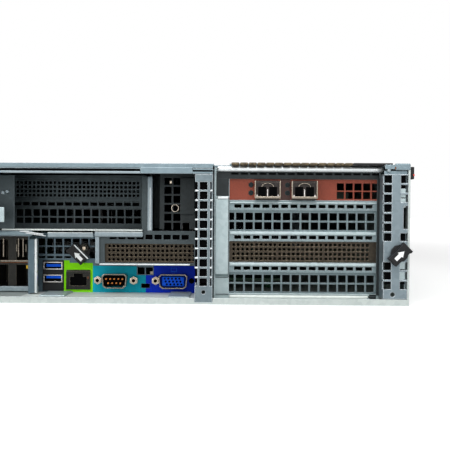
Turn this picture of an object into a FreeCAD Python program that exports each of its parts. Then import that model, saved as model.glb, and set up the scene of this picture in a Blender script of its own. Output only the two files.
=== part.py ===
import FreeCAD, Part
import os
import re

import Sketcher

# A 2U rack server, modelled as its separate pieces.
# Frame: +X to the right seen from the rear, +Y to the front, +Z up.
# The origin is the bottom centre of the whole machine. All sizes are millimetres.

SIZES = {
    # chassis pan and cover
    "pan_long": 740, "pan_wide": 445, "wall_high": 85.8, "steel": 1.2, "plate": 1.0,
    "end_reach": 24, "seat_gap": 0.3, "lip_high": 4, "floor_gap": 0.4,
    "ear_span": 482.6, "ear_holes": 465.1, "ear_hole_rise": 76.2, "ear_hole_low": 6.35,
    "ear_hole_radius": 3.4, "ear_thick": 2, "ear_deep": 40, "ear_back": 12,
    "stud_radius": 3, "stud_long": 3, "stud_head_radius": 4.5, "stud_head": 1.2,
    "stud_pitch": 190, "stud_count": 4, "stud_first": 40, "stud_rise": 43,
    # rear beam and cover edge
    "beam_low": 80.6, "beam_high": 83.8, "beam_deep": 44, "cover_lip_low": 84.1,
    "cover_front_gap": 190, "emboss": 0.8, "emboss_inset": 32, "gasket_high": 1.2, "gasket_deep": 8,
    "skirt_start": 210, "skirt_high": 3.6, "skirt_gap": 0.4,
    "well_long": 70, "well_wide": 46, "well_deep": 5, "well_front": 60, "handle_thick": 3, "handle_gap": 1,
    "handle_pin_radius": 0.9, "finger_long": 16, "pin_clearance": 0.05,
    # perforation shared by the posts, the cages and the blanks
    "square": 4.8, "square_pitch": 5.94, "fine_square": 1.8, "fine_pitch": 2.95,
    "slit_long": 28, "slit_pitch": 29.4, "mesh_margin": 2,
    # posts
    "post_left": 90.5, "post_wide": 10.8, "post_high": 81, "post_first_row": 75.6, "post_rows": 11,
    "post_column": 2.8, "wrap_face": 1.6, "wrap_side": 3.1, "post_deep": 44, "post_screw_radius": 1.35,
    "post_screw_rise": 7.6, "corner_wide": 14.6, "corner_deep": 12, "corner_side": 1.4, "corner_first_row": 80.4,
    "corner_upper_rows": 7, "corner_side_rows": 3, "corner_side_skip": 6, "corner_lower_rows": 3, "corner_skip": 9, "corner_cut": 4.4,
    "corner_hole": 1.5, "corner_hole_in": 8.8, "corner_hole_rise": 7,
    "corner_pocket_low": 47.4, "corner_pocket_high": 61.5, "corner_pocket_wide": 2.6,
    # right riser cage
    "cage_recess": 13, "cage_long": 210, "cage_top": 85.4, "cage_low": 2, "cage_side_gap": 0.6,
    "slot_edge": 9.6, "slot_last": 2, "slot_rise": 19.75, "slot_low": 5.6, "slot_high": 13.4, "slot_count": 4,
    "strip_gap": 1.4, "strip_high": 2.3, "pad_wide": 8, "pad_low": 16, "pad_high": 67, "pad_thick": 2,
    "mesh_columns": 15, "mesh_first": 4.3, "mesh_row": 1, "strip_first": 3.2, "fine_rows": 4, "fine_slits": 3, "blank_lap": 1,
    "blank_thick": 0.8, "blank_side": 2.6,
    # middle riser cage and the wall beside it
    "mid_recess": 56, "mid_left": -45.9, "mid_right": 53, "mid_low": 43.4, "mid_high": 82.4,
    "mid_slot_low": 65.9, "mid_slot_high": 14, "mid_strip_low": 60.9, "mid_strip_high": 3.4,
    "mid_mesh_low": 48.6, "mid_mesh_high": 10.3, "mid_edge": 5, "mid_columns": 15,
    "inner_recess": 29, "inner_left": 66.5, "inner_first_row": 74.8, "inner_low": 45.5, "inner_rows": 6,
    "bar_left": 56.9, "bar_wide": 1.9, "bar_recess": 44,
    # low-profile slot
    "low_recess": 26, "low_left": 23.7, "low_flange": 2.6, "low_bottom": 21.9, "low_top": 44.4,
    "low_window_low": 23.4, "low_window_high": 12.6, "low_window_left": 6, "low_strip_low": 38.8,
    "low_strip_high": 3.2, "low_strip_first": 9, "low_strip_count": 9,
    # rear input and output wall
    "io_recess": 46, "io_left": -22.7, "io_top": 42, "io_flange_deep": 14, "io_vent_first": 2.65,
    "io_vent_low": 33.4, "io_vent_pitch": 5.8,
    "io_vent_short": 1.5, "io_vent_columns": 7, "io_vent_kept": 4,
    "usb_left": -16.3, "usb_wide": 13.1, "usb_low": 7.3, "usb_high": 14.9, "usb_deep": 17.5,
    "usb_wall": 0.7, "usb_tongue": 1.9, "usb_tongue_wide": 9.4, "port_proud": 0.8, "port_gap": 0.2,
    "jack_left": -0.4, "jack_wide": 16.2, "jack_low": 3.3, "jack_high": 13.2, "jack_deep": 21,
    "jack_mouth": 11.8, "jack_mouth_high": 6.6, "jack_step": 5.6, "jack_step_high": 3.6, "jack_wall": 1.8,
    "serial_middle": 33.4, "serial_wide": 17, "vga_middle": 73.4, "vga_wide": 19.6, "dsub_rise": 9.6,
    "dsub_high": 9.8, "dsub_slope": 1.4, "dsub_wall": 0.6, "dsub_proud": 6, "dsub_flange": 6.6,
    "vga_insert_wide": 14.9, "vga_insert_high": 6.2, "dsub_back": 8,
    "square_vent": 4.9, "square_vent_left": 48.5, "square_vent_low": 13.9, "square_vent_pitch": 5.75,
    "oval_left": 51.1, "oval_wide": 5.9, "oval_low": 4.6, "oval_high": 2.9,
    # network module left of the wall
    "lom_right": -24, "lom_low": 1.8, "lom_high": 39, 
    "lom_port_right": 2.2, "lom_port_wide": 9, "lom_port_pitch": 14.5, "lom_ports": 4,
    "lom_jack_low": 3.2, "lom_jack_high": 15, "lom_cage_low": 21, "lom_cage_high": 14.6, "lom_port_deep": 22,
    # riser release latches
    "latch_radius": 5.3, "latch_base": 2, "latch_shaft_radius": 2.5, "latch_long": 11.8, "latch_wide": 6.6,
    "latch_thick": 4, "latch_bar": 7.7, "latch_bar_wide": 1.8, "latch_washer": 1, "latch_washer_lap": 1,
    "latch_back": 1.8, "latch_side": 3.4, "latch_right_x": 216, "latch_right_z": 32.5, "latch_mid_x": 11, "latch_mid_z": 29.4,
    "latch_gap": 0.3,
    # adapter card in the top right slot
    "card_long": 150, "card_thick": 1.6, "optic_wide": 14.7, "optic_high": 11.8,
    "optic_long": 48, "optic_first": 16.7, "optic_pitch": 23.2, "optic_gap": 0.3, "optic_low": 0.3,
    "optic_port": 4.6, "optic_port_high": 5.3, "optic_port_deep": 9, "optic_proud": 4.4, "optic_wall": 0.8, "bail_thick": 1.2,
    "bail_pin": 0.8, "card_vent_first": 68.2, "card_vents": 5, "card_vent": 4.6, "card_vent_pitch": 5.56,
    "card_vent_low": 1.05, "card_vent_rise": 5.35, "lamp_radius": 1.8, "lamp_side": 3, "lamp_low": 4.6, "lamp_rise": 5.1,
    # left riser cage
    "left_recess": 13, "left_wide": 98, "left_low": 43, "left_slots": 2,
    # power supplies
    "psu_wide": 73.5, "psu_high": 39.6, "psu_long": 185, "psu_low": 1.6, "psu_gap": 1.0,
    "psu_side_gap": 0.6, "psu_wall_high": 83.6, "psu_bay_long": 205, "inlet_wide": 25, "inlet_high": 17.5,
    "inlet_deep": 17, "inlet_side": 5, "inlet_cut": 4, "handle_bar": 4, "handle_wide": 26, "handle_high": 30,
    "handle_side": 6, "psu_slot_wide": 2.4, "psu_slot_high": 23, "psu_slot_pitch": 5, "psu_slots": 4,
    "psu_latch_wide": 6, "psu_latch_high": 14, "psu_latch_long": 40, "psu_latch_pin": 1.5,
    "psu_latch_proud": 12, "psu_latch_channel": 0.5,
    # main board and what stands on it
    "board_rise": 6, "board_thick": 1.8, "board_wide": 292, "board_left": -142, "board_back": 74, "board_end_gap": 27,
    "standoff_radius": 3, "sink_wide": 72, "sink_long": 108, "sink_high": 52, "sink_base": 5,
    "sink_fin": 1.2, "sink_pitch": 11.8, "sink_fins": 7, "sink_y": 60, "sink_x": 66, "sink_socket": 6,
    "dimm_long": 133, "dimm_thick": 4, "dimm_high": 31, "dimm_pitch": 10, "dimm_count": 4,
    "duct_thick": 1.2, "duct_top": 77, "duct_foot": 30, "duct_slope": 24, "duct_wide": 330,
    # fans
    "fan_size": 92, "fan_deep": 38, "fan_pitch": 100, "fan_bore": 36, "fan_rise": 42, "fan_y": 150,
    "fan_hub": 17, "fan_tip": 33.5, "fan_tip_gap": 1.5, "fan_blades": 5, "blade_thick": 1.6, "blade_chord": 18,
    "fan_motor_deep": 5, "fan_arm": 3, "fan_shaft": 2, "fan_frame_low": 4, "fan_frame_high": 79,
    "fan_hub_deep": 24, "fan_gap": 0.8,
    # drive cage, carriers and levers
    "cage_deep": 185, "bay_wide": 105.6, "bay_pitch": 107.6, "bay_high": 26.4, "bay_rise": 28,
    "bay_low": 2.6, "bay_columns": 4, "bay_rows": 2, "bay_gap": 0.3, "bezel_deep": 14, "drive_wide": 101.6,
    "drive_high": 25.4, "drive_long": 147, "bezel_slot": 40, "bezel_slot_high": 5.2, "bezel_slots": 2,
    "bezel_slot_pitch": 46, "bezel_recess": 5.4, "lever_long": 88, "lever_high": 11, "lever_thick": 4,
    "lever_pin": 1.2, "lever_eye": 2.6, "lever_gap": 0.3, "lever_side": 4, "lever_low": 11.4, "button_wide": 9,
    "lug_high": 2, "grille_slots": 5, "grille_pitch": 80, "grille_slot": 72, "grille_row": 6.4,
    "grille_rows": 1, "grille_high": 9, "backplane_thick": 2, "power_button": 4, "power_button_long": 6,
    "power_button_proud": 1.4, "power_rise": 60, "power_inset": 8.75,
}

# Places worked out from the sizes above.
PLACES = {
    "half": "pan_wide/2",
    "rear": "-pan_long/2",
    "front": "pan_long/2",
    "cover_top": "wall_high+plate",
    "cover_front": "front-cover_front_gap",
    "post_right": "post_left+post_wide",
    "cage_left": "post_right+cage_side_gap",
    "corner_right": "half-corner_side",
    "corner_left": "corner_right-corner_wide",
    "cage_right": "corner_left+cage_side_gap",
    "cage_face": "rear+cage_recess",
    "slot_left": "cage_left+slot_edge",
    "slot_right": "cage_right-slot_last",
    "mid_face": "rear+mid_recess",
    "inner_face": "rear+inner_recess",
    "low_face": "rear+low_recess",
    "io_face": "rear+io_recess",
    "psu_x": "-half+steel+psu_side_gap+psu_wide/2",
    "psu_wall": "-half+steel+2*psu_side_gap+psu_wide",
    "bay_side": "psu_wall+plate+seat_gap",
    "psu_step": "psu_high+psu_gap",
    "lom_face": "io_face",
    "left_face": "rear+left_recess",
    "board_y": "rear+board_back",
    "board_end": "fan_y-fan_deep/2-board_end_gap",
    "board_long": "board_end-board_y",
    "board_top": "steel+board_rise+board_thick",
    "cage_back": "front-cage_deep",
    "backplane_y": "front-bezel_deep-drive_long-2*backplane_thick",
    "card_z": "slot_low+(slot_count-1)*slot_rise",
    "duct_front": "fan_y-fan_deep/2-fan_gap",
}

doc = FreeCAD.newDocument("rack_server")
sheet = doc.addObject("Spreadsheet::Sheet", "sizes")
for line, (name, number) in enumerate(SIZES.items(), 1):
    sheet.set(f"A{line}", name)
    sheet.set(f"B{line}", str(number))
    sheet.setAlias(f"B{line}", name)
doc.recompute()

WORD = re.compile(r"[a-z][a-z_]*")
PIECES = []


def full(text):
    """The sheet expression behind a formula written with size and place names."""
    def swap(found):
        word = found.group(0)
        if word in PLACES:
            return "(" + full(PLACES[word]) + ")"
        return "sizes." + word if word in SIZES else word
    return WORD.sub(swap, str(text))


def value(text):
    return float(sheet.evalExpression(full(text)))


def bind(feature, prop, text):
    feature.setExpression(prop, full(text))


def piece(name):
    body = doc.addObject("PartDesign::Body", name)
    body.Label = name
    PIECES.append(body)
    return body


def origin(body, role):
    return [item for item in body.Origin.OriginFeatures if item.Role == role][0]


def place(body, x="0", y="0", z="0"):
    """Where the piece's own origin stands in the machine."""
    for axis, text in zip("xyz", (x, y, z)):
        bind(body, "Placement.Base." + axis, text)


def add(body, kind, name):
    feature = body.newObject(kind, name)
    body.Tip = feature
    return feature


def outline(body, role, offset, corners):
    """A closed straight-sided sketch on an origin plane of the body, every corner dimensioned."""
    sketch = body.newObject("Sketcher::SketchObject", "outline")
    sketch.AttachmentSupport = [(origin(body, role + "_Plane"), "")]
    sketch.MapMode = "FlatFace"
    bind(sketch, "AttachmentOffset.Base.z", offset)
    spots = [FreeCAD.Vector(value(a), value(b), 0) for a, b in corners]
    count = len(spots)
    for i in range(count):
        sketch.addGeometry(Part.LineSegment(spots[i], spots[(i + 1) % count]), False)
    for i in range(count):
        sketch.addConstraint(Sketcher.Constraint("Coincident", i, 2, (i + 1) % count, 1))
    for i, (a, b) in enumerate(corners):
        for kind, text, spot in (("DistanceX", a, spots[i].x), ("DistanceY", b, spots[i].y)):
            number = sketch.addConstraint(Sketcher.Constraint(kind, -1, 1, i, 1, spot))
            bind(sketch, f"Constraints[{number}]", text)
    return sketch


def pad(body, role, low, high, corners):
    """Extrude an outline between two stations along the plane's axis."""
    offset = f"-({high})" if role == "XZ" else low
    sketch = outline(body, role, offset, corners)
    feature = add(body, "PartDesign::Pad", "pad")
    feature.Profile = sketch
    bind(feature, "Length", f"({high})-({low})")
    return feature


def pocket(body, role, low, high, corners):
    """Cut an outline out between two stations along the plane's axis."""
    offset = f"-({low})" if role == "XZ" else high
    sketch = outline(body, role, offset, corners)
    feature = add(body, "PartDesign::Pocket", "pocket")
    feature.Profile = sketch
    bind(feature, "Length", f"({high})-({low})")
    return feature


def block(body, x, y, z, kind="PartDesign::AdditiveBox"):
    feature = add(body, kind, "block")
    for side, axis, (low, high) in zip(("Length", "Width", "Height"), "xyz", (x, y, z)):
        bind(feature, side, f"({high})-({low})")
        bind(feature, "Placement.Base." + axis, low)
    return feature


def window(body, x, y, z):
    return block(body, x, y, z, "PartDesign::SubtractiveBox")


SIDES = {"X": ("YZ", 1, 2), "Y": ("XZ", 0, 2), "Z": ("XY", 0, 1)}


def disc(body, role, offset, across, up, radius):
    """A circle sketched on an origin plane of the body, its centre and radius dimensioned."""
    sketch = body.newObject("Sketcher::SketchObject", "disc")
    sketch.AttachmentSupport = [(origin(body, role + "_Plane"), "")]
    sketch.MapMode = "FlatFace"
    bind(sketch, "AttachmentOffset.Base.z", offset)
    middle = FreeCAD.Vector(value(across), value(up), 0)
    sketch.addGeometry(Part.Circle(middle, FreeCAD.Vector(0, 0, 1), value(radius)), False)
    for kind, text, spot in (("DistanceX", across, middle.x), ("DistanceY", up, middle.y)):
        number = sketch.addConstraint(Sketcher.Constraint(kind, -1, 1, 0, 3, spot))
        bind(sketch, f"Constraints[{number}]", text)
    number = sketch.addConstraint(Sketcher.Constraint("Radius", 0, value(radius)))
    bind(sketch, f"Constraints[{number}]", radius)
    return sketch


def prism(body, axis, start, length, radius, sides, cut=False):
    """A regular prism, or a prismatic hole, of this length from a start point along an axis."""
    role, across, up = SIDES[axis]
    low = start["XYZ".index(axis)]
    turns = [360 * (i + 0.5) / sides for i in range(sides)]
    corners = [(f"{start[across]}+({radius})*cos({turn})", f"{start[up]}+({radius})*sin({turn})") for turn in turns]
    return (pocket if cut else pad)(body, role, low, f"({low})+({length})", corners)


def socket(body, axis, start, length, radius):
    """An eight-sided hole whose flats clear a pin of this radius by the running clearance."""
    return prism(body, axis, start, length, f"({radius}+pin_clearance)/cos(22.5)", 8, True)


def rod(body, axis, start, length, radius, kind="PartDesign::Pad"):
    """A round pad, or a round pocket, of this length from a start point along +X, +Y or +Z."""
    role, across, up = SIDES[axis]
    low = start["XYZ".index(axis)]
    ends = (f"({low})+({length})", low) if kind == "PartDesign::Pad" else (low, f"({low})+({length})")
    offset = f"-({ends[0]})" if axis == "Y" else ends[1]
    feature_sketch = disc(body, role, offset, start[across], start[up], radius)
    feature = add(body, kind, "rod")
    feature.Profile = feature_sketch
    bind(feature, "Length", length)
    return feature


def bore(body, axis, start, length, radius):
    return rod(body, axis, start, length, radius, "PartDesign::Pocket")


def row(body, features, axis, pitch, count):
    """Repeat features along an axis of the body."""
    feature = body.newObject("PartDesign::LinearPattern", "row")
    feature.Originals = features
    feature.Direction = (origin(body, axis + "_Axis"), [""])
    feature.Mode = "Spacing"
    bind(feature, "Offset", pitch)
    bind(feature, "Occurrences", count)
    body.Tip = feature
    return feature


def ring(body, features, axis, count):
    """Repeat features round an axis of the body."""
    feature = body.newObject("PartDesign::PolarPattern", "ring")
    feature.Originals = features
    feature.Axis = (origin(body, axis + "_Axis"), [""])
    feature.Angle = 360
    bind(feature, "Occurrences", count)
    body.Tip = feature
    return feature


def through(face):
    """A span along Y that clears a sheet whose rear side is at this station."""
    return (f"{face}-plate", f"{face}+2*plate")


def squares(body, face, left, lows, columns, high="square", pitch="square_pitch", wide="square"):
    """Rows of square holes through a sheet that faces the rear."""
    cuts = [window(body, (left, f"{left}+{wide}"), through(face), (low, f"{low}+{high}")) for low in lows]
    return row(body, cuts, "X", pitch, columns)


def slits(body, face, left, low, rows, columns):
    """The fine perforation: short slits in close rows, each as long as three small holes."""
    lows = [f"{low}+{i}*fine_pitch" for i in range(rows)]
    return squares(body, face, left, lows, columns, "fine_square", "slit_pitch", "slit_long")


def chassis_pan():
    body = piece("chassis_pan")
    pad(body, "XZ", "rear", "front", [
        ("-half", "0"), ("half", "0"), ("half", "wall_high"), ("half-steel", "wall_high"),
        ("half-steel", "steel"), ("-half+steel", "steel"), ("-half+steel", "wall_high"),
        ("-half", "wall_high")])
    block(body, ("psu_wall", "half"), ("rear", "rear+steel"), ("0", "lip_high"))
    window(body, ("post_left-seat_gap", "post_right+seat_gap"), ("rear-plate", "rear+steel"),
           ("steel", "lip_high+plate"))
    # power supply bay: a side wall and a shelf edge between the two units
    block(body, ("psu_wall", "psu_wall+plate"), ("rear", "rear+psu_bay_long"), ("0", "psu_wall_high"))
    # shouldered rail studs along both side walls
    studs = []
    for start in ("-half-stud_long", "half"):
        studs.append(prism(body, "X", (start, "rear+stud_first", "stud_rise"), "stud_long", "stud_radius", 6))
    for start in ("-half-stud_long-stud_head", "half+stud_long"):
        studs.append(prism(body, "X", (start, "rear+stud_first", "stud_rise"), "stud_head", "stud_head_radius", 8))
    row(body, studs, "Y", "stud_pitch", "stud_count")
    return body


def rear_beam():
    body = piece("rear_beam")
    pad(body, "YZ", "psu_wall+plate", "post_right", [
        ("rear", "beam_low"), ("rear+plate", "beam_low"), ("rear+plate", "beam_high-plate"),
        ("rear+beam_deep", "beam_high-plate"), ("rear+beam_deep", "beam_high"), ("rear", "beam_high")])
    return body


def top_cover():
    body = piece("top_cover")
    block(body, ("-half", "half"), ("rear", "cover_front"), ("wall_high", "cover_top"))
    window(body, ("cage_left", "cage_right"), ("rear-plate", "cage_face+plate"), ("cover_lip_low", "cover_top+1"))
    block(body, ("-half+steel+skirt_gap", "post_right"), ("rear", "rear+plate"), ("cover_lip_low", "wall_high"))
    block(body, ("cage_right", "half-steel-skirt_gap"), ("rear", "rear+plate"), ("cover_lip_low", "wall_high"))
    # inner skirts that locate the cover between the side walls
    for low in ("-half+steel+skirt_gap", "half-steel-skirt_gap-plate"):
        block(body, (low, f"{low}+plate"), ("rear+skirt_start", "cover_front"),
              ("wall_high-skirt_high", "wall_high"))
    # stamped raised field with a tapered border
    pad(body, "XZ", "cage_face+2*emboss_inset", "cover_front-emboss_inset", [
        ("-half+emboss_inset", "cover_top"), ("half-emboss_inset", "cover_top"),
        ("half-emboss_inset-emboss", "cover_top+emboss"), ("-half+emboss_inset+emboss", "cover_top+emboss")])
    # finger gasket over the right riser cage
    block(body, ("slot_left", "cage_right"), ("cage_face+plate", "cage_face+plate+gasket_deep"),
          ("cover_top", "cover_top+gasket_high"))
    # well that holds the cover handle
    block(body, ("-well_wide/2-plate", "well_wide/2+plate"),
          ("cover_front-well_front-well_long-plate", "cover_front-well_front+plate"),
          ("cover_top-well_deep-plate", "cover_top"))
    window(body, ("-well_wide/2", "well_wide/2"),
           ("cover_front-well_front-well_long", "cover_front-well_front"),
           ("cover_top-well_deep", "cover_top+2*emboss"))
    rod(body, "X", ("-well_wide/2", "cover_front-well_front-handle_gap-handle_thick/2",
                    "cover_top-handle_thick/2"), "well_wide", "handle_pin_radius")
    return body


def cover_handle():
    """The flip-up handle that draws the cover back; it turns on the pin across the well."""
    body = piece("cover_handle")
    back = "cover_front-well_front-well_long+finger_long"
    hinge = "cover_front-well_front-handle_gap-handle_thick/2"
    block(body, ("-well_wide/2+handle_gap", "well_wide/2-handle_gap"), (back, f"{hinge}+handle_thick/2"),
          ("cover_top-handle_thick", "cover_top"))
    block(body, ("-well_wide/2+2*handle_thick", "well_wide/2-2*handle_thick"),
          (back, f"{back}+handle_thick"), ("cover_top-1.6*handle_thick", "cover_top-handle_thick"))
    socket(body, "X", ("-well_wide/2", hinge, "cover_top-handle_thick/2"), "well_wide", "handle_pin_radius")
    return body


def center_post():
    body = piece("center_post")
    pad(body, "XY", "steel", "beam_low-seat_gap", [
        ("post_left", "rear"), ("post_right", "rear"), ("post_right", "rear+cage_recess"),
        ("post_right-plate", "rear+cage_recess"), ("post_right-plate", "rear+plate"),
        ("post_left+plate", "rear+plate"), ("post_left+plate", "rear+post_deep"),
        ("post_left", "rear+post_deep")])
    top = ("post_first_row-square", "post_first_row")
    cuts = [window(body, ("post_left+post_column", "post_left+post_column+square"), through("rear"), top),
            window(body, ("post_left-plate", "post_left+wrap_face"), ("rear-plate", "rear+wrap_side"), top),
            window(body, ("post_right-wrap_face", "post_right+plate"), ("rear-plate", "rear+wrap_side"), top)]
    down = row(body, cuts, "Z", "square_pitch", "post_rows")
    down.Reversed = True
    prism(body, "Y", ("post_left+post_wide/2", "rear-plate", "post_screw_rise"), "3*plate",
          "post_screw_radius", 8, True)
    return body


def right_post():
    body = piece("right_post")
    pad(body, "XY", "lip_high+seat_gap", "post_high", [
        ("corner_left", "rear"), ("corner_right", "rear"), ("corner_right", "rear+corner_deep"),
        ("corner_right-plate", "rear+corner_deep"), ("corner_right-plate", "rear+plate"),
        ("corner_left+plate", "rear+plate"), ("corner_left+plate", "rear+corner_deep"),
        ("corner_left", "rear+corner_deep")])
    top = ("corner_first_row-square", "corner_first_row")
    left = ("corner_left-plate", "corner_left+square")
    right = ("corner_right-corner_cut", "corner_right+plate")
    cuts = [window(body, left, ("rear-plate", "rear+wrap_side"), top)]
    row(body, cuts, "Z", "square_pitch", "corner_upper_rows").Reversed = True
    cuts = [window(body, right, ("rear-plate", "rear+wrap_side"), top)]
    row(body, cuts, "Z", "square_pitch", "corner_side_rows").Reversed = True
    window(body, right, ("rear-plate", "rear+wrap_side"),
           ("corner_first_row-square-corner_side_skip*square_pitch", "corner_first_row-corner_side_skip*square_pitch"))
    prism(body, "Y", ("corner_right-corner_hole_in", "rear-plate", "corner_hole_rise"), "3*plate",
          "corner_hole", 8, True)
    lower = ("corner_first_row-square-corner_skip*square_pitch", "corner_first_row-corner_skip*square_pitch")
    cuts = [window(body, side, ("rear-plate", "rear+wrap_side"), lower) for side in (left, right)]
    row(body, cuts, "Z", "square_pitch", "corner_lower_rows").Reversed = True
    window(body, ("corner_right-corner_pocket_wide", "corner_right+plate"), ("rear-plate", "rear+corner_deep/2"),
           ("corner_pocket_low", "corner_pocket_high"))
    socket(body, "Y", ("latch_right_x", "rear-plate", "latch_right_z"), "3*plate", "latch_shaft_radius")
    return body


def inner_wall():
    body = piece("inner_wall")
    pad(body, "XY", "inner_low", "beam_high-plate-seat_gap", [
        ("bar_left", "rear+bar_recess"), ("bar_left+bar_wide", "rear+bar_recess"),
        ("bar_left+bar_wide", "mid_face-plate"), ("inner_left-plate", "mid_face-plate"),
        ("inner_left-plate", "inner_face"), ("post_left-seat_gap", "inner_face"),
        ("post_left-seat_gap", "inner_face+plate"), ("inner_left", "inner_face+plate"),
        ("inner_left", "mid_face"), ("bar_left", "mid_face")])
    lows = [f"inner_first_row-{i}*square_pitch" for i in range(int(SIZES["inner_rows"]) - 1)]
    squares(body, "inner_face", "inner_left+mesh_margin", lows, "2")
    squares(body, "inner_face", "inner_left+mesh_margin",
            [f"inner_first_row-(inner_rows-1)*square_pitch"], "3")
    return body


def low_cage():
    """Frame of the low-profile card slot."""
    body = piece("low_cage")
    block(body, ("low_left", "post_left-seat_gap"), ("low_face", "low_face+plate"), ("low_bottom", "low_top"))
    block(body, ("low_left", "low_left+plate"), ("low_face", "io_face"), ("low_bottom", "low_top"))
    block(body, ("low_left", "post_left-seat_gap"), ("low_face", "io_face"), ("low_top-plate", "low_top"))
    window(body, ("low_left+low_window_left", "post_left-mesh_margin"), through("low_face"),
           ("low_window_low", "low_window_low+low_window_high"))
    squares(body, "low_face", "low_left+low_strip_first", ["low_strip_low"], "low_strip_count", "low_strip_high")
    return body


def low_blank():
    body = piece("low_blank")
    left = "low_left+low_window_left"
    block(body, (f"{left}-blank_lap", "post_left-mesh_margin+blank_lap"),
          ("low_face+plate", "low_face+plate+blank_thick"),
          ("low_window_low-blank_lap", "low_window_low+low_window_high+blank_lap"))
    slits(body, "low_face+plate", f"{left}+mesh_margin", "low_window_low+strip_gap/2+fine_square/4", 4, "3")
    return body


def middle_cage():
    body = piece("middle_cage")
    block(body, ("mid_left", "mid_right"), ("mid_face", "mid_face+plate"), ("mid_low", "mid_high"))
    block(body, ("mid_left", "mid_left+plate"), ("mid_face", "mid_face+cage_long/2"), ("mid_low", "mid_high"))
    block(body, ("mid_left", "mid_right"), ("mid_face", "mid_face+cage_long/2"), ("mid_high-plate", "mid_high"))
    window(body, ("mid_left+mid_edge", "mid_right-mesh_margin"), through("mid_face"),
           ("mid_slot_low", "mid_slot_low+mid_slot_high"))
    window(body, ("mid_left+mid_edge", "mid_right-mesh_margin"), through("mid_face"),
           ("mid_mesh_low", "mid_mesh_low+mid_mesh_high"))
    squares(body, "mid_face", "mid_left+mid_edge+mesh_margin/2", ["mid_strip_low"], "mid_columns",
            "mid_strip_high")
    return body


def middle_blanks():
    body = piece("middle_blanks")
    left = "mid_left+mid_edge"
    for low, high in (("mid_slot_low", "mid_slot_high"), ("mid_mesh_low", "mid_mesh_high")):
        block(body, (f"{left}-blank_lap", "mid_right-mesh_margin+blank_lap"),
              ("mid_face+plate", "mid_face+plate+blank_thick"), (f"{low}-blank_side", f"{low}+{high}+blank_lap"))
    slits(body, "mid_face+plate", f"{left}+mesh_margin", "mid_slot_low+strip_gap", 4, "fine_slits")
    squares(body, "mid_face+plate", f"{left}+mesh_margin",
            ["mid_mesh_low-mesh_row", "mid_mesh_low-mesh_row+square_pitch"], "mid_columns")
    return body


def right_cage():
    body = piece("right_cage")
    pad(body, "YZ", "cage_left", "cage_right", [
        ("cage_face", "cage_low"), ("cage_face+plate", "cage_low"), ("cage_face+plate", "cage_top-plate"),
        ("cage_face+cage_long", "cage_top-plate"), ("cage_face+cage_long", "cage_top"),
        ("cage_face", "cage_top")])
    block(body, ("cage_left", "cage_left+plate"), ("cage_face", "cage_face+cage_long"), ("board_top+floor_gap", "cage_top"))
    pad(body, "YZ", "cage_left+plate", "cage_left+plate+pad_wide", [
        ("cage_face", "pad_low"), ("cage_face", "pad_high"), ("cage_face-pad_thick", "pad_high-pad_thick"),
        ("cage_face-pad_thick", "pad_low+pad_thick")])
    slots = [window(body, ("slot_left", "slot_right"), through("cage_face"), ("slot_low", "slot_low+slot_high"))]
    row(body, slots, "Z", "slot_rise", "slot_count")
    strips = [window(body, ("slot_left+strip_first", "slot_left+strip_first+square"), through("cage_face"),
                     (f"slot_low+slot_high+strip_gap+{i}*slot_rise",
                      f"slot_low+slot_high+strip_gap+strip_high+{i}*slot_rise")) for i in range(3)]
    row(body, strips, "X", "square_pitch", "mesh_columns")
    return body


def slot_blank(body, level):
    """A filler behind one slot window of the right cage; returns the height of that window."""
    low = f"slot_low+{level}*slot_rise"
    block(body, ("slot_left-blank_side", "slot_right+blank_lap"),
          ("cage_face+plate", "cage_face+plate+blank_thick"), (f"{low}-blank_lap", f"{low}+slot_high+blank_lap"))
    return low


def right_blanks():
    body = piece("right_blanks")
    for level in (0, 2):
        low = slot_blank(body, level)
        squares(body, "cage_face+plate", "slot_left+mesh_first-square_pitch",
                [f"{low}+mesh_row", f"{low}+mesh_row+square_pitch"], "mesh_columns+1")
    body = piece("right_blank_fine")
    low = slot_blank(body, 1)
    slits(body, "cage_face+plate", "slot_left+mesh_margin", f"{low}+strip_gap", 4, "fine_slits")


def adapter_card():
    """Bracket and board of the optical adapter in the top slot of the right cage."""
    body = piece("card_bracket")
    block(body, ("slot_left-blank_lap", "slot_right+blank_lap"),
          ("cage_face+plate", "cage_face+plate+blank_thick"), ("card_z-blank_lap", "card_z+slot_high+blank_lap"))
    face = "cage_face+plate"
    mouth = window(body, ("slot_left+optic_first-optic_gap", "slot_left+optic_first+optic_wide+optic_gap"),
                   through(face), ("card_z+optic_low-optic_gap", "card_z+optic_low+optic_high+optic_gap"))
    row(body, [mouth], "X", "optic_pitch", "2")
    squares(body, face, "slot_left+card_vent_first", ["card_z+card_vent_low", "card_z+card_vent_low+card_vent_rise"],
            "card_vents", "card_vent", "card_vent_pitch", "card_vent")
    lamps = [prism(body, "Y", ("slot_left+optic_first-lamp_side", "cage_face", f"card_z+lamp_low+{i}*lamp_rise"),
                   "3*plate", "lamp_radius", 6, True) for i in (0, 1)]
    row(body, lamps, "X", "optic_pitch", "2")
    board = piece("card_board")
    block(board, ("slot_left", "slot_right"), (f"{face}+blank_thick", f"{face}+card_long"),
          ("card_z-card_thick-blank_lap", "card_z-blank_lap"))
    block(board, ("slot_left+optic_first+3*optic_wide", "slot_right-2*square"),
          (f"{face}+optic_long", f"{face}+card_long-optic_long/2"), ("card_z-blank_lap", "card_z+slot_high/2"))


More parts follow.
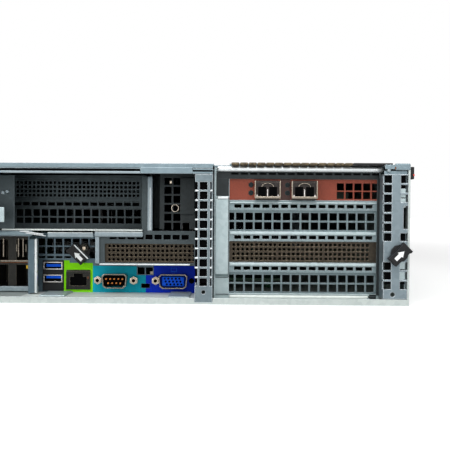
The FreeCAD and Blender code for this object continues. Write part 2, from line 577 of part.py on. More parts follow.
def optics():
    """The two pluggable transceivers and the bail that releases each one."""
    for i in range(2):
        body = piece(f"transceiver_{i + 1}")
        block(body, ("0", "optic_wide"), ("-optic_proud", "optic_long-optic_proud"), ("0", "optic_high"))
        mouth = window(body, ("optic_wide/2-optic_wall/2-optic_port", "optic_wide/2-optic_wall/2"),
                       ("-optic_proud-plate", "optic_port_deep-optic_proud"),
                       ("(optic_high-optic_port_high)/2-optic_wall", "(optic_high+optic_port_high)/2-optic_wall"))
        row(body, [mouth], "X", "optic_port+optic_wall", "2")
        # pivot of the bail, standing out on both sides under the top edge
        prism(body, "X", ("-bail_pin", "-optic_proud+2*bail_pin", "optic_high-2*bail_pin"),
              "optic_wide+2*bail_pin", "bail_pin", 8)
        spot = (f"slot_left+optic_first+{i}*optic_pitch", "cage_face+plate", "card_z+optic_low")
        place(body, *spot)
        bail = piece(f"bail_{i + 1}")
        arm = "optic_gap/2"
        pad(bail, "YZ", f"-{arm}-bail_thick/2", f"optic_wide+{arm}+bail_thick/2", [
            ("-optic_proud-bail_thick-optic_gap", "optic_wall"), ("-optic_proud-optic_gap", "optic_wall"),
            ("-optic_proud-optic_gap", "optic_wall+bail_thick"),
            ("-optic_proud-bail_thick-optic_gap", "optic_wall+bail_thick")])
        for low, high in ((f"-{arm}-bail_thick/2", f"-{arm}"), (f"optic_wide+{arm}", f"optic_wide+{arm}+bail_thick/2")):
            pad(bail, "YZ", low, high, [
                ("-optic_proud-bail_thick-optic_gap", "optic_wall"),
                ("-optic_proud-optic_gap", "optic_wall"),
                ("-optic_proud+3.6*bail_pin", "optic_high-3.6*bail_pin"),
                ("-optic_proud+3.6*bail_pin", "optic_high"),
                ("-optic_proud-bail_thick-optic_gap", "optic_high")])
        socket(bail, "X", ("-2*bail_pin", "-optic_proud+2*bail_pin", "optic_high-2*bail_pin"),
               "optic_wide+4*bail_pin", "bail_pin")
        place(bail, *spot)


def left_cage():
    body = piece("left_cage")
    right = "bay_side+left_wide"
    pad(body, "YZ", "bay_side", right, [
        ("left_face", "left_low"), ("left_face+plate", "left_low"), ("left_face+plate", "beam_low-seat_gap-plate"),
        ("left_face+cage_long", "beam_low-seat_gap-plate"), ("left_face+cage_long", "beam_low-seat_gap"),
        ("left_face", "beam_low-seat_gap")])
    block(body, (f"{right}-plate", right), ("left_face", "left_face+cage_long"), ("left_low", "beam_low-seat_gap"))
    squares(body, "left_face", "bay_side+mesh_margin+square", ["left_low+mesh_margin+square_pitch"], "7",
            "2*square", "2*square_pitch", "2*square")
    return body


def io_wall():
    body = piece("io_wall")
    block(body, ("io_left", "post_left-seat_gap"), ("io_face", "io_face+plate"), ("steel", "io_top"))
    block(body, ("io_left", "io_left+plate"), ("io_face-io_flange_deep", "io_face"), ("steel", "io_top"))
    first, last = "io_left+io_vent_first", "io_left+io_vent_first+(io_vent_columns-1)*square_pitch"
    squares(body, "io_face", first, ["io_vent_low"], "io_vent_columns")
    second, third = "io_vent_low-io_vent_pitch", "io_vent_low-io_vent_pitch-2*io_vent_short"
    squares(body, "io_face", first, [second], "io_vent_kept")
    squares(body, "io_face", first, [third], "io_vent_kept", "io_vent_short")
    window(body, (last, f"{last}+square"), through("io_face"), (third, f"{second}+square"))
    window(body, ("usb_left-port_gap", "usb_left+usb_wide+port_gap"), through("io_face"),
           ("usb_low-port_gap", "usb_low+usb_high+port_gap"))
    window(body, ("jack_left-port_gap", "jack_left+jack_wide+port_gap"), through("io_face"),
           ("jack_low-port_gap", "jack_low+jack_high+port_gap"))
    for middle, wide in (("serial_middle", "serial_wide"), ("vga_middle", "vga_wide")):
        window(body, (f"{middle}-{wide}/2-port_gap", f"{middle}+{wide}/2+port_gap"), through("io_face"),
               ("dsub_rise-dsub_high/2-port_gap", "dsub_rise+dsub_high/2+port_gap"))
    cut = window(body, ("square_vent_left", "square_vent_left+square_vent"), through("io_face"),
                 ("square_vent_low", "square_vent_low+square_vent"))
    row(body, [cut], "X", "square_vent_pitch", "2")
    window(body, ("oval_left", "oval_left+oval_wide"), through("io_face"), ("oval_low", "oval_low+oval_high"))
    socket(body, "Y", ("latch_mid_x", "io_face-plate", "latch_mid_z"), "3*plate", "latch_shaft_radius")
    return body


def usb_ports():
    body = piece("usb_ports")
    block(body, ("usb_left", "usb_left+usb_wide"), ("io_face-port_proud", "io_face+usb_deep"),
          ("usb_low", "usb_low+usb_high"))
    step = "usb_high/2"
    mouth = window(body, ("usb_left+usb_wall", "usb_left+usb_wide-usb_wall"),
                   ("io_face-port_proud-plate", "io_face+0.8*usb_deep"),
                   ("usb_low+usb_wall", f"usb_low+{step}-usb_wall"))
    row(body, [mouth], "Z", step, "2")
    side = "(usb_wide-usb_tongue_wide)/2"
    tongue = block(body, (f"usb_left+{side}", f"usb_left+usb_wide-{side}"),
                   ("io_face", "io_face+0.9*usb_deep"),
                   (f"usb_low+{step}/2", f"usb_low+{step}/2+usb_tongue"))
    row(body, [tongue], "Z", step, "2")
    return body


def network_jack(name, left, low, face):
    """A shielded jack: a wide mouth with the stepped latch notch above it."""
    body = piece(name)
    block(body, (left, f"{left}+jack_wide"), (f"{face}-port_proud", f"{face}+jack_deep"), (low, f"{low}+jack_high"))
    middle = f"{left}+jack_wide/2"
    floor = f"{low}+jack_wall"
    ledge = f"{floor}+jack_mouth_high"
    pocket(body, "XZ", f"{face}-port_proud-plate", f"{face}+0.8*jack_deep", [
        (f"{middle}-jack_mouth/2", floor), (f"{middle}+jack_mouth/2", floor), (f"{middle}+jack_mouth/2", ledge),
        (f"{middle}+jack_step/2", ledge), (f"{middle}+jack_step/2", f"{ledge}+jack_step_high"),
        (f"{middle}-jack_step/2", f"{ledge}+jack_step_high"), (f"{middle}-jack_step/2", ledge),
        (f"{middle}-jack_mouth/2", ledge)])
    return body


def dsub(name, middle, wide, insert):
    """A D-shaped shell standing out of the wall on its flange, behind the wall."""
    body = piece(name)
    low, high = "dsub_rise-dsub_high/2", "dsub_rise+dsub_high/2"

    def shape(inset):
        edge, top, bottom = f"{wide}/2-{inset}", f"{high}-{inset}", f"{low}+{inset}"
        return [(f"{middle}-({edge}-1.8*dsub_slope)", bottom), (f"{middle}+({edge}-1.8*dsub_slope)", bottom),
                (f"{middle}+({edge}-dsub_slope/2)", f"{bottom}+dsub_slope"), (f"{middle}+({edge})", f"{top}-dsub_slope"),
                (f"{middle}+({edge}-dsub_slope)", top), (f"{middle}-({edge}-dsub_slope)", top),
                (f"{middle}-({edge})", f"{top}-dsub_slope"), (f"{middle}-({edge}-dsub_slope/2)", f"{bottom}+dsub_slope")]

    pad(body, "XZ", "io_face-dsub_proud", "io_face+dsub_back", shape("0"))
    block(body, (f"{middle}-{wide}/2-dsub_flange", f"{middle}+{wide}/2+dsub_flange"),
          ("io_face+plate", "io_face+dsub_back"), (f"{low}-dsub_slope", f"{high}+dsub_slope"))
    pocket(body, "XZ", "io_face-dsub_proud-plate", "io_face", shape("dsub_wall"))
    if insert:
        block(body, (f"{middle}-vga_insert_wide/2", f"{middle}+vga_insert_wide/2"),
              ("io_face-0.7*dsub_proud", "io_face+plate"),
              ("dsub_rise-vga_insert_high/2", "dsub_rise+vga_insert_high/2"))
    return body


def network_module():
    body = piece("network_module")
    block(body, ("bay_side", "lom_right"), ("lom_face", "lom_face+lom_port_deep+2*plate"),
          ("lom_low", "lom_low+lom_high"))
    right = "lom_right-lom_port_right"
    cuts = [window(body, (f"{right}-lom_port_wide", right), ("lom_face-plate", "lom_face+lom_port_deep"),
                   (f"lom_low+{low}", f"lom_low+{low}+{high}"))
            for low, high in (("lom_jack_low", "lom_jack_high"), ("lom_cage_low", "lom_cage_high"))]
    row(body, cuts, "X", "lom_port_pitch", "lom_ports").Reversed = True
    return body


def release_latch(name, x, face, z, lean, along, across):
    """A quarter-turn latch: thumb block and cross bar on a round base, its shaft through the sheet."""
    body = piece(name)
    shaft = "latch_base/2+2*latch_gap+plate+latch_washer"
    prism(body, "Y", ("0", "-latch_gap-latch_base", "0"), "latch_base", "latch_radius", 12)
    rod(body, "Y", ("0", "-latch_gap-latch_base/2", "0"), shaft, "latch_shaft_radius")
    prism(body, "Y", ("0", "plate+latch_gap", "0"), "latch_washer", "latch_shaft_radius+latch_washer_lap", 6)
    left, right = f"{across}-latch_wide/2", f"{across}+latch_wide/2"
    low, high = f"{along}-latch_long/2", f"{along}+latch_long/2"
    wing = "(latch_bar-latch_wide)/2"
    pad(body, "XZ", "-latch_gap-latch_base-latch_thick", "-latch_gap-latch_base", [
        (left, low), (right, low), (right, high), (f"{right}+{wing}", high),
        (f"{right}+{wing}", f"{high}+latch_bar_wide"), (f"{left}-{wing}", f"{high}+latch_bar_wide"),
        (f"{left}-{wing}", high), (left, high)])
    body.Placement.Rotation = FreeCAD.Rotation(FreeCAD.Vector(0, 1, 0), lean)
    place(body, x, face, z)
    return body


def psus():
    """Two stacked power supplies with inlet, slotted face, loop handle and a sprung latch."""
    for i in range(2):
        body = piece(f"psu_{i + 1}")
        block(body, ("-psu_wide/2", "psu_wide/2"), ("0", "psu_long"), ("0", "psu_high"))
        left = "-psu_wide/2+inlet_side"
        low = "(psu_high-inlet_high)/2"
        pocket(body, "XZ", "-plate", "inlet_deep", [
            (left, low), (f"{left}+inlet_wide", low), (f"{left}+inlet_wide", f"{low}+inlet_high-inlet_cut"),
            (f"{left}+inlet_wide-inlet_cut", f"{low}+inlet_high"), (f"{left}+inlet_cut", f"{low}+inlet_high"),
            (left, f"{low}+inlet_high-inlet_cut")])
        # exhaust slots
        cut = window(body, (f"{left}+inlet_wide+inlet_side", f"{left}+inlet_wide+inlet_side+psu_slot_wide"),
                     ("-plate", "6*plate"), ("2*handle_bar", "2*handle_bar+psu_slot_high"))
        row(body, [cut], "X", "psu_slot_pitch", "psu_slots")
        # loop handle
        far = "psu_wide/2-psu_latch_wide-handle_side"
        low, high = "(psu_high-handle_high)/2", "(psu_high+handle_high)/2"
        pad(body, "YZ", f"{far}-handle_bar", far, [
            ("0", low), ("-end_reach+handle_bar", low), ("-end_reach", f"{low}+handle_bar"),
            ("-end_reach", f"{high}-handle_bar"), ("-end_reach+handle_bar", high), ("0", high),
            ("0", f"{high}-handle_bar"), ("-end_reach+1.5*handle_bar", f"{high}-handle_bar"),
            ("-end_reach+handle_bar", f"{high}-1.5*handle_bar"), ("-end_reach+handle_bar", f"{low}+1.5*handle_bar"),
            ("-end_reach+1.5*handle_bar", f"{low}+handle_bar"), ("0", f"{low}+handle_bar")])
        # channel and pin for the latch along the right side
        window(body, ("psu_wide/2-psu_latch_wide", "psu_wide/2+plate"), ("-plate", "psu_latch_long+plate"),
               ("(psu_high-psu_latch_high)/2-psu_latch_channel", "(psu_high+psu_latch_high)/2+psu_latch_channel"))
        prism(body, "Z", ("psu_wide/2-psu_latch_wide/2", "psu_latch_long-2*psu_latch_pin",
                          "(psu_high-psu_latch_high)/2-psu_latch_channel"),
              "psu_latch_high+2*psu_latch_channel", "psu_latch_pin", 8)
        spot = ("psu_x", "rear", f"psu_low+{i}*psu_step")
        place(body, *spot)
        latch = piece(f"psu_latch_{i + 1}")
        right, inner = "psu_wide/2", "psu_wide/2-plate*2"
        pin = "psu_wide/2-psu_latch_wide/2"
        pad(latch, "XY", "(psu_high-psu_latch_high)/2", "(psu_high+psu_latch_high)/2", [
            (right, "psu_latch_long-psu_latch_channel"), (f"{pin}-1.6*psu_latch_pin", "psu_latch_long-psu_latch_channel"),
            (f"{pin}-1.6*psu_latch_pin", "psu_latch_long-4.5*psu_latch_pin"),
            (inner, "psu_latch_long-6*psu_latch_pin"), (inner, "-psu_latch_proud+2*plate"),
            (f"{inner}-plate", "-psu_latch_proud"), (right, "-psu_latch_proud")])
        socket(latch, "Z", (pin, "psu_latch_long-2*psu_latch_pin", "0"), "psu_high", "psu_latch_pin")
        place(latch, *spot)


def main_board():
    """Main board on standoffs, with the memory modules in their sockets."""
    body = piece("main_board")
    far = "board_end"
    pad(body, "XY", "steel+board_rise", "board_top", [
        ("board_left", "board_y"), ("board_left+board_wide", "board_y"), ("board_left+board_wide", far),
        ("board_left", far)])
    posts = [prism(body, "Z", (f"board_left+{side}", "board_y+4*standoff_radius", "steel"), "board_rise",
                   "standoff_radius", 6) for side in ("3*standoff_radius", "board_wide-3*standoff_radius")]
    row(body, posts, "Y", "board_long/3", "3")
    for left in ("-dimm_count*dimm_pitch/2", "sink_x+sink_wide/2+dimm_thick",
                 "-sink_x-sink_wide/2-dimm_thick-(dimm_count-1)*dimm_pitch-dimm_thick"):
        cards = [block(body, (left, f"{left}+dimm_thick"), ("sink_y-dimm_long/2", "sink_y+dimm_long/2"),
                       ("board_top", "board_top+dimm_high"))]
        row(body, cards, "X", "dimm_pitch", "dimm_count")
    return body


def heat_sinks():
    """Two processor heat sinks, each a base and a row of fins."""
    body = piece("heat_sinks")
    for side in ("-sink_x", "sink_x"):
        block(body, (f"{side}-sink_wide/2", f"{side}+sink_wide/2"), ("sink_y-sink_long/2", "sink_y+sink_long/2"),
              ("board_top", "board_top+sink_socket+sink_base"))
        fin = block(body, (f"{side}-sink_wide/2", f"{side}-sink_wide/2+sink_fin"),
                    ("sink_y-sink_long/2", "sink_y+sink_long/2"),
                    ("board_top+sink_socket+sink_base", "board_top+sink_socket+sink_high"))
        row(body, [fin], "X", "sink_pitch", "sink_fins")


def air_duct():
    """Moulded duct over the processors: a roof with a sloped rear edge and two side walls."""
    body = piece("air_duct")
    back = "sink_y-dimm_long/2-duct_slope"
    pad(body, "YZ", "-duct_wide/2", "duct_wide/2", [
        (back, "duct_top-duct_slope/2"), (f"{back}+duct_slope", "duct_top"), ("duct_front", "duct_top"),
        ("duct_front", "duct_top+duct_thick"), (f"{back}+duct_slope-duct_thick/2", "duct_top+duct_thick"),
        (back, "duct_top-duct_slope/2+1.4*duct_thick")])
    for low in ("-duct_wide/2", "duct_wide/2-duct_thick"):
        pad(body, "YZ", low, f"{low}+duct_thick", [
            (back, "duct_foot"), ("duct_front", "duct_foot"), ("duct_front", "duct_top+duct_thick/2"),
            (f"{back}+duct_slope-duct_thick/2", "duct_top+duct_thick/2"),
            (back, "duct_top-duct_slope/2+duct_thick/2")])
    return body


def fans():
    """Fan wall with four round bores, a motor mount in each, and the four rotors."""
    frame = piece("fan_frame")
    back, ahead = "fan_y-fan_deep/2", "fan_y+fan_deep/2"
    block(frame, ("-1.5*fan_pitch-fan_size/2", "1.5*fan_pitch+fan_size/2"), (back, ahead),
          ("fan_frame_low", "fan_frame_high"))
    first = "-1.5*fan_pitch"
    cut = prism(frame, "Y", (first, f"{back}-plate", "fan_rise"), "fan_deep+2*plate", "fan_bore", 18, True)
    row(frame, [cut], "X", "fan_pitch", "4")
    mount = [prism(frame, "Y", (first, back, "fan_rise"), "fan_motor_deep", "fan_hub", 10),
             block(frame, (f"{first}-fan_bore-plate", f"{first}+fan_bore+plate"), (back, f"{back}+fan_arm"),
                   ("fan_rise-fan_arm/2", "fan_rise+fan_arm/2"))]
    row(frame, mount, "X", "fan_pitch", "4")
    eye = socket(frame, "Y", (first, f"{back}-plate", "fan_rise"), "2*fan_motor_deep", "fan_shaft")
    row(frame, [eye], "X", "fan_pitch", "4")
    for i in range(4):
        rotor = piece(f"fan_rotor_{i + 1}")
        prism(rotor, "Y", ("0", "fan_motor_deep+fan_gap", "0"), "fan_hub_deep", "fan_hub", 10)
        prism(rotor, "Y", ("0", "plate", "0"), "2*fan_motor_deep", "fan_shaft", 8)
        low = "fan_motor_deep+fan_gap+blade_thick"
        blade = pad(rotor, "YZ", "fan_hub-plate", "fan_tip", [
            (low, "-blade_chord/2"), (f"{low}+blade_thick", "-blade_chord/2"),
            (f"{low}+blade_chord", "blade_chord/2-blade_thick"), (f"{low}+blade_chord", "blade_chord/2")])
        ring(rotor, [blade], "Y", "fan_blades")
        place(rotor, f"{first}+{i}*fan_pitch", back, "fan_rise")


def drive_cage():
    """Cage of the drive bays: shelves, partitions, roof, connector board and the slotted top band."""
    body = piece("drive_cage")
    left, right = "-bay_columns*bay_pitch/2", "bay_columns*bay_pitch/2"
    low = "bay_low-seat_gap-plate"
    roof = "bay_low+bay_rows*bay_rise"
    block(body, ("-half+steel+seat_gap", "half-steel-seat_gap"), ("cage_back", "front"), (low, f"{low}+plate"))
    block(body, ("-half", "half"), ("cover_front+seat_gap", "front"), ("wall_high", "cover_top"))
    block(body, (left, right), ("backplane_y", "backplane_y+backplane_thick"), (low, "wall_high"))
    shelf = block(body, (left, right), ("cage_back", "front"), ("bay_low+bay_high+seat_gap", f"bay_low+bay_rise-seat_gap"))
    row(body, [shelf], "Z", "bay_rise", "bay_rows")
    wall = block(body, (f"{left}-plate/2", f"{left}+plate/2"), ("cage_back", "front"), (low, "wall_high"))
    row(body, [wall], "X", "bay_pitch", "bay_columns+1")
    block(body, (left, right), ("front-plate", "front"), (roof, "wall_high"))
    cuts = [window(body, (f"-grille_slots*grille_pitch/2+(grille_pitch-grille_slot)/2",
                          f"-grille_slots*grille_pitch/2+(grille_pitch+grille_slot)/2"),
                   ("front-2*plate", "front+plate"),
                   (f"{roof}+2*plate+{i}*grille_row", f"{roof}+2*plate+{i}*grille_row+grille_high"))
            for i in range(int(SIZES["grille_rows"]))]
    row(body, cuts, "X", "grille_pitch", "grille_slots")
    return body


def drives():
    """Hot-swap carriers with their drives, and the lever on each one."""
    columns, rows = int(SIZES["bay_columns"]), int(SIZES["bay_rows"])
    for number in range(columns * rows):
        column, level = number % columns, number // columns
        spot = (f"({column}-(bay_columns-1)/2)*bay_pitch", "front", f"bay_low+{level}*bay_rise")
        body = piece(f"drive_{number + 1}")
        side = "(bay_wide/2-bay_gap)"
        face = "end_reach-lever_thick-lever_gap"
        block(body, (f"-{side}", side), ("-bezel_deep", face), ("0", "bay_high-bay_gap"))
        block(body, ("-drive_wide/2", "drive_wide/2"), ("-bezel_deep-drive_long", "-bezel_deep"),
              ("(bay_high-bay_gap-drive_high)/2", "(bay_high-bay_gap+drive_high)/2"))
        cut = window(body, ("-bezel_slots*bezel_slot_pitch/2", "-bezel_slots*bezel_slot_pitch/2+bezel_slot"),
                     (f"{face}-bezel_recess", f"{face}+plate"), ("2*plate", "2*plate+bezel_slot_high"))
        row(body, [cut], "X", "bezel_slot_pitch", "bezel_slots")
        pin = f"-{side}+lever_side"
        for low in ("lever_low-lever_gap-lug_high", "lever_low+lever_high+lever_gap"):
            block(body, (f"{pin}-lever_eye", f"{pin}+lever_eye"), (face, "end_reach"),
                  (low, f"{low}+lug_high"))
        prism(body, "Z", (pin, "end_reach-lever_thick/2", "lever_low-lever_gap-lug_high/2"),
              "lever_high+2*lever_gap+lug_high", "lever_pin", 8)
        place(body, *spot)
        lever = piece(f"lever_{number + 1}")
        block(lever, (pin, f"{pin}+lever_long"), ("end_reach-lever_thick", "end_reach"),
              ("lever_low", "lever_low+lever_high"))
        prism(lever, "Z", (pin, "end_reach-lever_thick/2", "lever_low"), "lever_high", "lever_thick/2", 8)
        window(lever, (f"{pin}+lever_thick*2", f"{pin}+lever_long-button_wide-lever_thick"),
               ("end_reach-lever_thick/2", "end_reach+plate"),
               ("lever_low+2*plate", "lever_low+lever_high-2*plate"))
        socket(lever, "Z", (pin, "end_reach-lever_thick/2", "0"), "bay_high", "lever_pin")
        place(lever, *spot)


def rack_ears():
    """Mounting ears with two holes each at the rack's spacing; the right one carries the buttons."""
    body = piece("rack_ears")
    for sign in ("-", ""):
        near, far = f"{sign}(half+seat_gap)", f"{sign}(ear_span/2)"
        wall = f"{sign}(half+seat_gap+ear_thick)"
        corners = [(near, "front-ear_deep"), (wall, "front-ear_deep"), (wall, "front-ear_thick"),
                   (far, "front-ear_thick"), (far, "front"), (near, "front")]
        pad(body, "XY", "2*plate", "cover_top-plate", corners if sign == "" else corners[::-1])
        cut = bore(body, "Y", (f"{sign}(ear_holes/2)", "front-2*ear_thick", "ear_hole_low"), "3*ear_thick",
                   "ear_hole_radius")
        row(body, [cut], "Z", "ear_hole_rise", "2")
    prism(body, "Y", ("ear_span/2-power_inset", "front-2*ear_thick", "power_rise"), "3*ear_thick",
          "power_button+pin_clearance*2", 12, True)
    return body


def power_button():
    body = piece("power_button")
    prism(body, "Y", ("ear_span/2-power_inset", "front-power_button_long", "power_rise"),
          "power_button_long+power_button_proud", "power_button", 12)
    return body


for build in (chassis_pan, rear_beam, io_wall, center_post, right_post, inner_wall, low_cage, low_blank,
              middle_cage, middle_blanks, right_cage, right_blanks, adapter_card, optics, left_cage,
              network_module, usb_ports, main_board, heat_sinks, air_duct, fans, drive_cage, drives,
              rack_ears, power_button, psus, top_cover, cover_handle):
    build()
network_jack("network_jack", "jack_left", "jack_low", "io_face")
dsub("serial_port", "serial_middle", "serial_wide", False)
dsub("video_port", "vga_middle", "vga_wide", True)
release_latch("latch_right", "latch_right_x", "rear", "latch_right_z", 45, "-latch_back", "0")
release_latch("latch_middle", "latch_mid_x", "io_face", "latch_mid_z", -45, "0", "-latch_side")

doc.recompute()
failed = [item.Name for item in doc.Objects if {"Invalid", "Error"} & set(item.State)]
if failed:
    raise RuntimeError("features that did not build: " + ", ".join(failed))
for body in PIECES:
    if body.Shape.isNull() or not body.Shape.isValid():
        raise RuntimeError("no valid shape: " + body.Label)
os.makedirs("parts", exist_ok=True)
for body in PIECES:
    body.Shape.exportStep(f"parts/{body.Label}.step")
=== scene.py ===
# %% [markdown]
# # A two-unit rack server seen from its rear
# The solid model of the server is already built. Every sheet, cage, connector and lever is a node
# in the frame, and the nodes ride on bodies that move as the real parts do. Modelling it all again
# as loose meshes would lose those motions, so this notebook only dresses the solids: it gives each
# node its finish, adds the small things that a solid model leaves out, such as labels, pins, screws
# and gaskets, and sets up the studio.

# %% Load the solid model
import math

import bmesh
import bpy
from mathutils import Matrix, Vector


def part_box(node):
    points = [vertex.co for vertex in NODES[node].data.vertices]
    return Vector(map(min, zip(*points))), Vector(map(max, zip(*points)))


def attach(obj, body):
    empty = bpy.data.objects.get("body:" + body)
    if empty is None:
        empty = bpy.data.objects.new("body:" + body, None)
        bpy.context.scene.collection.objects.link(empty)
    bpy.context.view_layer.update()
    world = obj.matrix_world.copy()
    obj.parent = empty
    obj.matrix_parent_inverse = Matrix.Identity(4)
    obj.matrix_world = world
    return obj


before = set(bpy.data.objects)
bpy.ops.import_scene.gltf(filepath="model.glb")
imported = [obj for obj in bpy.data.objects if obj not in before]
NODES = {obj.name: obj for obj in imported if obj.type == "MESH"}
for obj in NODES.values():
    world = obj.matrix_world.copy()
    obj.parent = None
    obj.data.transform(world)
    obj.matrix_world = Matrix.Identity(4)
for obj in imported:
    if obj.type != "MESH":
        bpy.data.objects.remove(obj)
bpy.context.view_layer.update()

# %% [markdown]
# ## Units and colours
# The server's drawings are in millimetres and Blender works in metres, so the helpers below take
# millimetres. Colours could be typed as linear numbers, but those are hard to judge by eye. They
# are written as a paint swatch shows them, from 0 to 255, and turned into the linear numbers that
# Blender mixes light with.

# %% Units and colours
MM = 0.001
WHITE = (1, 1, 1, 1)


def swatch(red, green, blue):
    """A paint colour from 0 to 255, as linear light with full opacity."""
    parts = [c / 255 for c in (red, green, blue)]
    return tuple(c / 12.92 if c < 0.04 else ((c + 0.055) / 1.055) ** 2.4 for c in parts) + (1.0,)


print("middle grey:", swatch(128, 128, 128))

# %% [markdown]
# ## World
# A studio has white walls, yet their light shouldn't wash the metal out. A picture wrapped round the
# scene could light it, but a plain colour is easier to judge. The world is a dim grey for the light
# it casts, and white where the camera, a reflection or a look through glass meets it. Two small
# helpers, which the finishes use too, take the larger of two numbers and stretch a number.

# %% World
WORLD_LIGHT = 0.22


def larger(tree, first, second):
    """The larger of two numbers."""
    node = tree.nodes.new("ShaderNodeMath")
    node.operation = "MAXIMUM"
    tree.links.new(first, node.inputs[0])
    tree.links.new(second, node.inputs[1])
    return node.outputs["Value"]


def remap(tree, source, start, end, low=0.0, high=1.0):
    """Stretch a number from the span start to end onto the span low to high."""
    node = tree.nodes.new("ShaderNodeMapRange")
    for label, value in (("From Min", start), ("From Max", end), ("To Min", low), ("To Max", high)):
        node.inputs[label].default_value = value
    tree.links.new(source, node.inputs["Value"])
    return node.outputs["Result"]


scene = bpy.context.scene
scene.view_settings.view_transform = "Standard"
world = bpy.data.worlds.new("studio")
scene.world = world
world.use_nodes = True
sky = world.node_tree
sky.nodes.clear()
rays = sky.nodes.new("ShaderNodeLightPath")
seen = larger(sky, rays.outputs["Is Camera Ray"], rays.outputs["Is Glossy Ray"])
seen = larger(sky, seen, rays.outputs["Is Transmission Ray"])
glow = sky.nodes.new("ShaderNodeBackground")
glow.inputs["Color"].default_value = WHITE
sky.links.new(remap(sky, seen, 0, 1, WORLD_LIGHT, 1.0), glow.inputs["Strength"])
world_out = sky.nodes.new("ShaderNodeOutputWorld")
sky.links.new(glow.outputs["Background"], world_out.inputs["Surface"])
print("world light:", WORLD_LIGHT)

# %% [markdown]
# ## Floor
# The server stands on a wide sheet of pale paper. A curved backdrop is the usual studio answer, but
# a flat square does the same where the world is white. Paper far from the lamps turns grey, so it
# glows for the camera, more with every step away from the server, and the shadow stays at its foot.

# %% Floor
FLOOR_HALF = 6
GLOW_START, GLOW_END = 0.35, 1.3
GLOW_NEAR, GLOW_FAR = 0.3, 0.95

bm = bmesh.new()
bmesh.ops.create_grid(bm, x_segments=1, y_segments=1, size=FLOOR_HALF)
floor_mesh = bpy.data.meshes.new("floor")
bm.to_mesh(floor_mesh)
bm.free()
floor = bpy.data.objects.new("floor", floor_mesh)
scene.collection.objects.link(floor)

paper = bpy.data.materials.new("studio paper")
paper.use_nodes = True
tree = paper.node_tree
shader = tree.nodes["Principled BSDF"]
shader.inputs["Base Color"].default_value = (0.93, 0.93, 0.93, 1)
shader.inputs["Roughness"].default_value = 0.8
shader.inputs["Emission Color"].default_value = WHITE
rays = tree.nodes.new("ShaderNodeLightPath")
place = tree.nodes.new("ShaderNodeTexCoord")
reach = tree.nodes.new("ShaderNodeVectorMath")
reach.operation = "LENGTH"
tree.links.new(place.outputs["Object"], reach.inputs[0])
lift = tree.nodes.new("ShaderNodeMath")
lift.operation = "MULTIPLY"
tree.links.new(remap(tree, reach.outputs["Value"], GLOW_START, GLOW_END, GLOW_NEAR, GLOW_FAR), lift.inputs[0])
tree.links.new(rays.outputs["Is Camera Ray"], lift.inputs[1])
tree.links.new(lift.outputs["Value"], shader.inputs["Emission Strength"])
floor_mesh.materials.append(paper)
print("floor:", 2 * FLOOR_HALF, "m wide")

# %% [markdown]
# ## Lamps
# Sheet metal shows its shape by wide soft reflections. A sun or a point lamp would draw hard
# shadows through every hole, so three large rectangles light it: a long one overhead, one behind
# the camera, and a weaker one on the left.

# %% Lamps


def soft_light(name, place, target, size, watts):
    """A rectangular lamp that points at a target."""
    data = bpy.data.lights.new(name, "AREA")
    data.shape = "RECTANGLE"
    data.size, data.size_y = size
    data.energy = watts
    lamp = bpy.data.objects.new(name, data)
    lamp.location = place
    lamp.rotation_euler = (Vector(target) - Vector(place)).to_track_quat("-Z", "Y").to_euler()
    scene.collection.objects.link(lamp)
    print("lamp:", name, watts, "W")


soft_light("overhead softbox", (0.0, -1.0, 0.95), (0.05, -0.35, 0.04), (1.4, 0.6), 12)
soft_light("front fill", (0.35, -2.0, 0.5), (0.1, -0.37, 0.05), (1.2, 0.8), 4.5)
soft_light("left fill", (-1.0, -1.0, 0.45), (0.05, -0.35, 0.04), (0.7, 0.7), 5)

# %% [markdown]
# ## Camera
# The camera stands close behind the server, a little above the middle of its back, with a normal
# lens. A long lens from far away would hide how deep the cages are set, and this near one shows it.
# It looks down by about a degree and leans by less than one.

# %% Camera
CAMERA_PLACE = (0.1133, -0.770, 0.0572)
PAN, TILT, LEAN = 0.62, 88.85, 0.37

lens = bpy.data.cameras.new("rear view")
lens.sensor_width = 36
lens.lens = 52
camera = bpy.data.objects.new("rear view", lens)
turn = (Matrix.Rotation(math.radians(PAN), 4, "Z") @ Matrix.Rotation(math.radians(TILT), 4, "X")
        @ Matrix.Rotation(math.radians(LEAN), 4, "Z"))
camera.matrix_world = Matrix.Translation(CAMERA_PLACE) @ turn
scene.collection.objects.link(camera)
scene.camera = camera
print("camera:", CAMERA_PLACE, "lens", lens.lens)

# %% [markdown]
# ## Spangle
# Nearly every part here is sheet dipped in zinc, which sets in frosty flakes. A scanned picture
# could show them, but it would have to be unwrapped onto every bend. Cells of a Voronoi pattern in
# object space give flakes that run on round the bends, and a fine noise roughens them. All
# finishes use the effect, so it is a node group with its own scale.

# %% Spangle
FINE_GRAIN = 2600


def new_group(name, inputs, outputs):
    """An empty shader group with named number sockets; returns the tree and its two ends."""
    tree = bpy.data.node_groups.new(name, "ShaderNodeTree")
    for label, number in inputs:
        socket = tree.interface.new_socket(label, in_out="INPUT", socket_type="NodeSocketFloat")
        socket.default_value = number
    for label in outputs:
        tree.interface.new_socket(label, in_out="OUTPUT", socket_type="NodeSocketFloat")
    return tree, tree.nodes.new("NodeGroupInput"), tree.nodes.new("NodeGroupOutput")


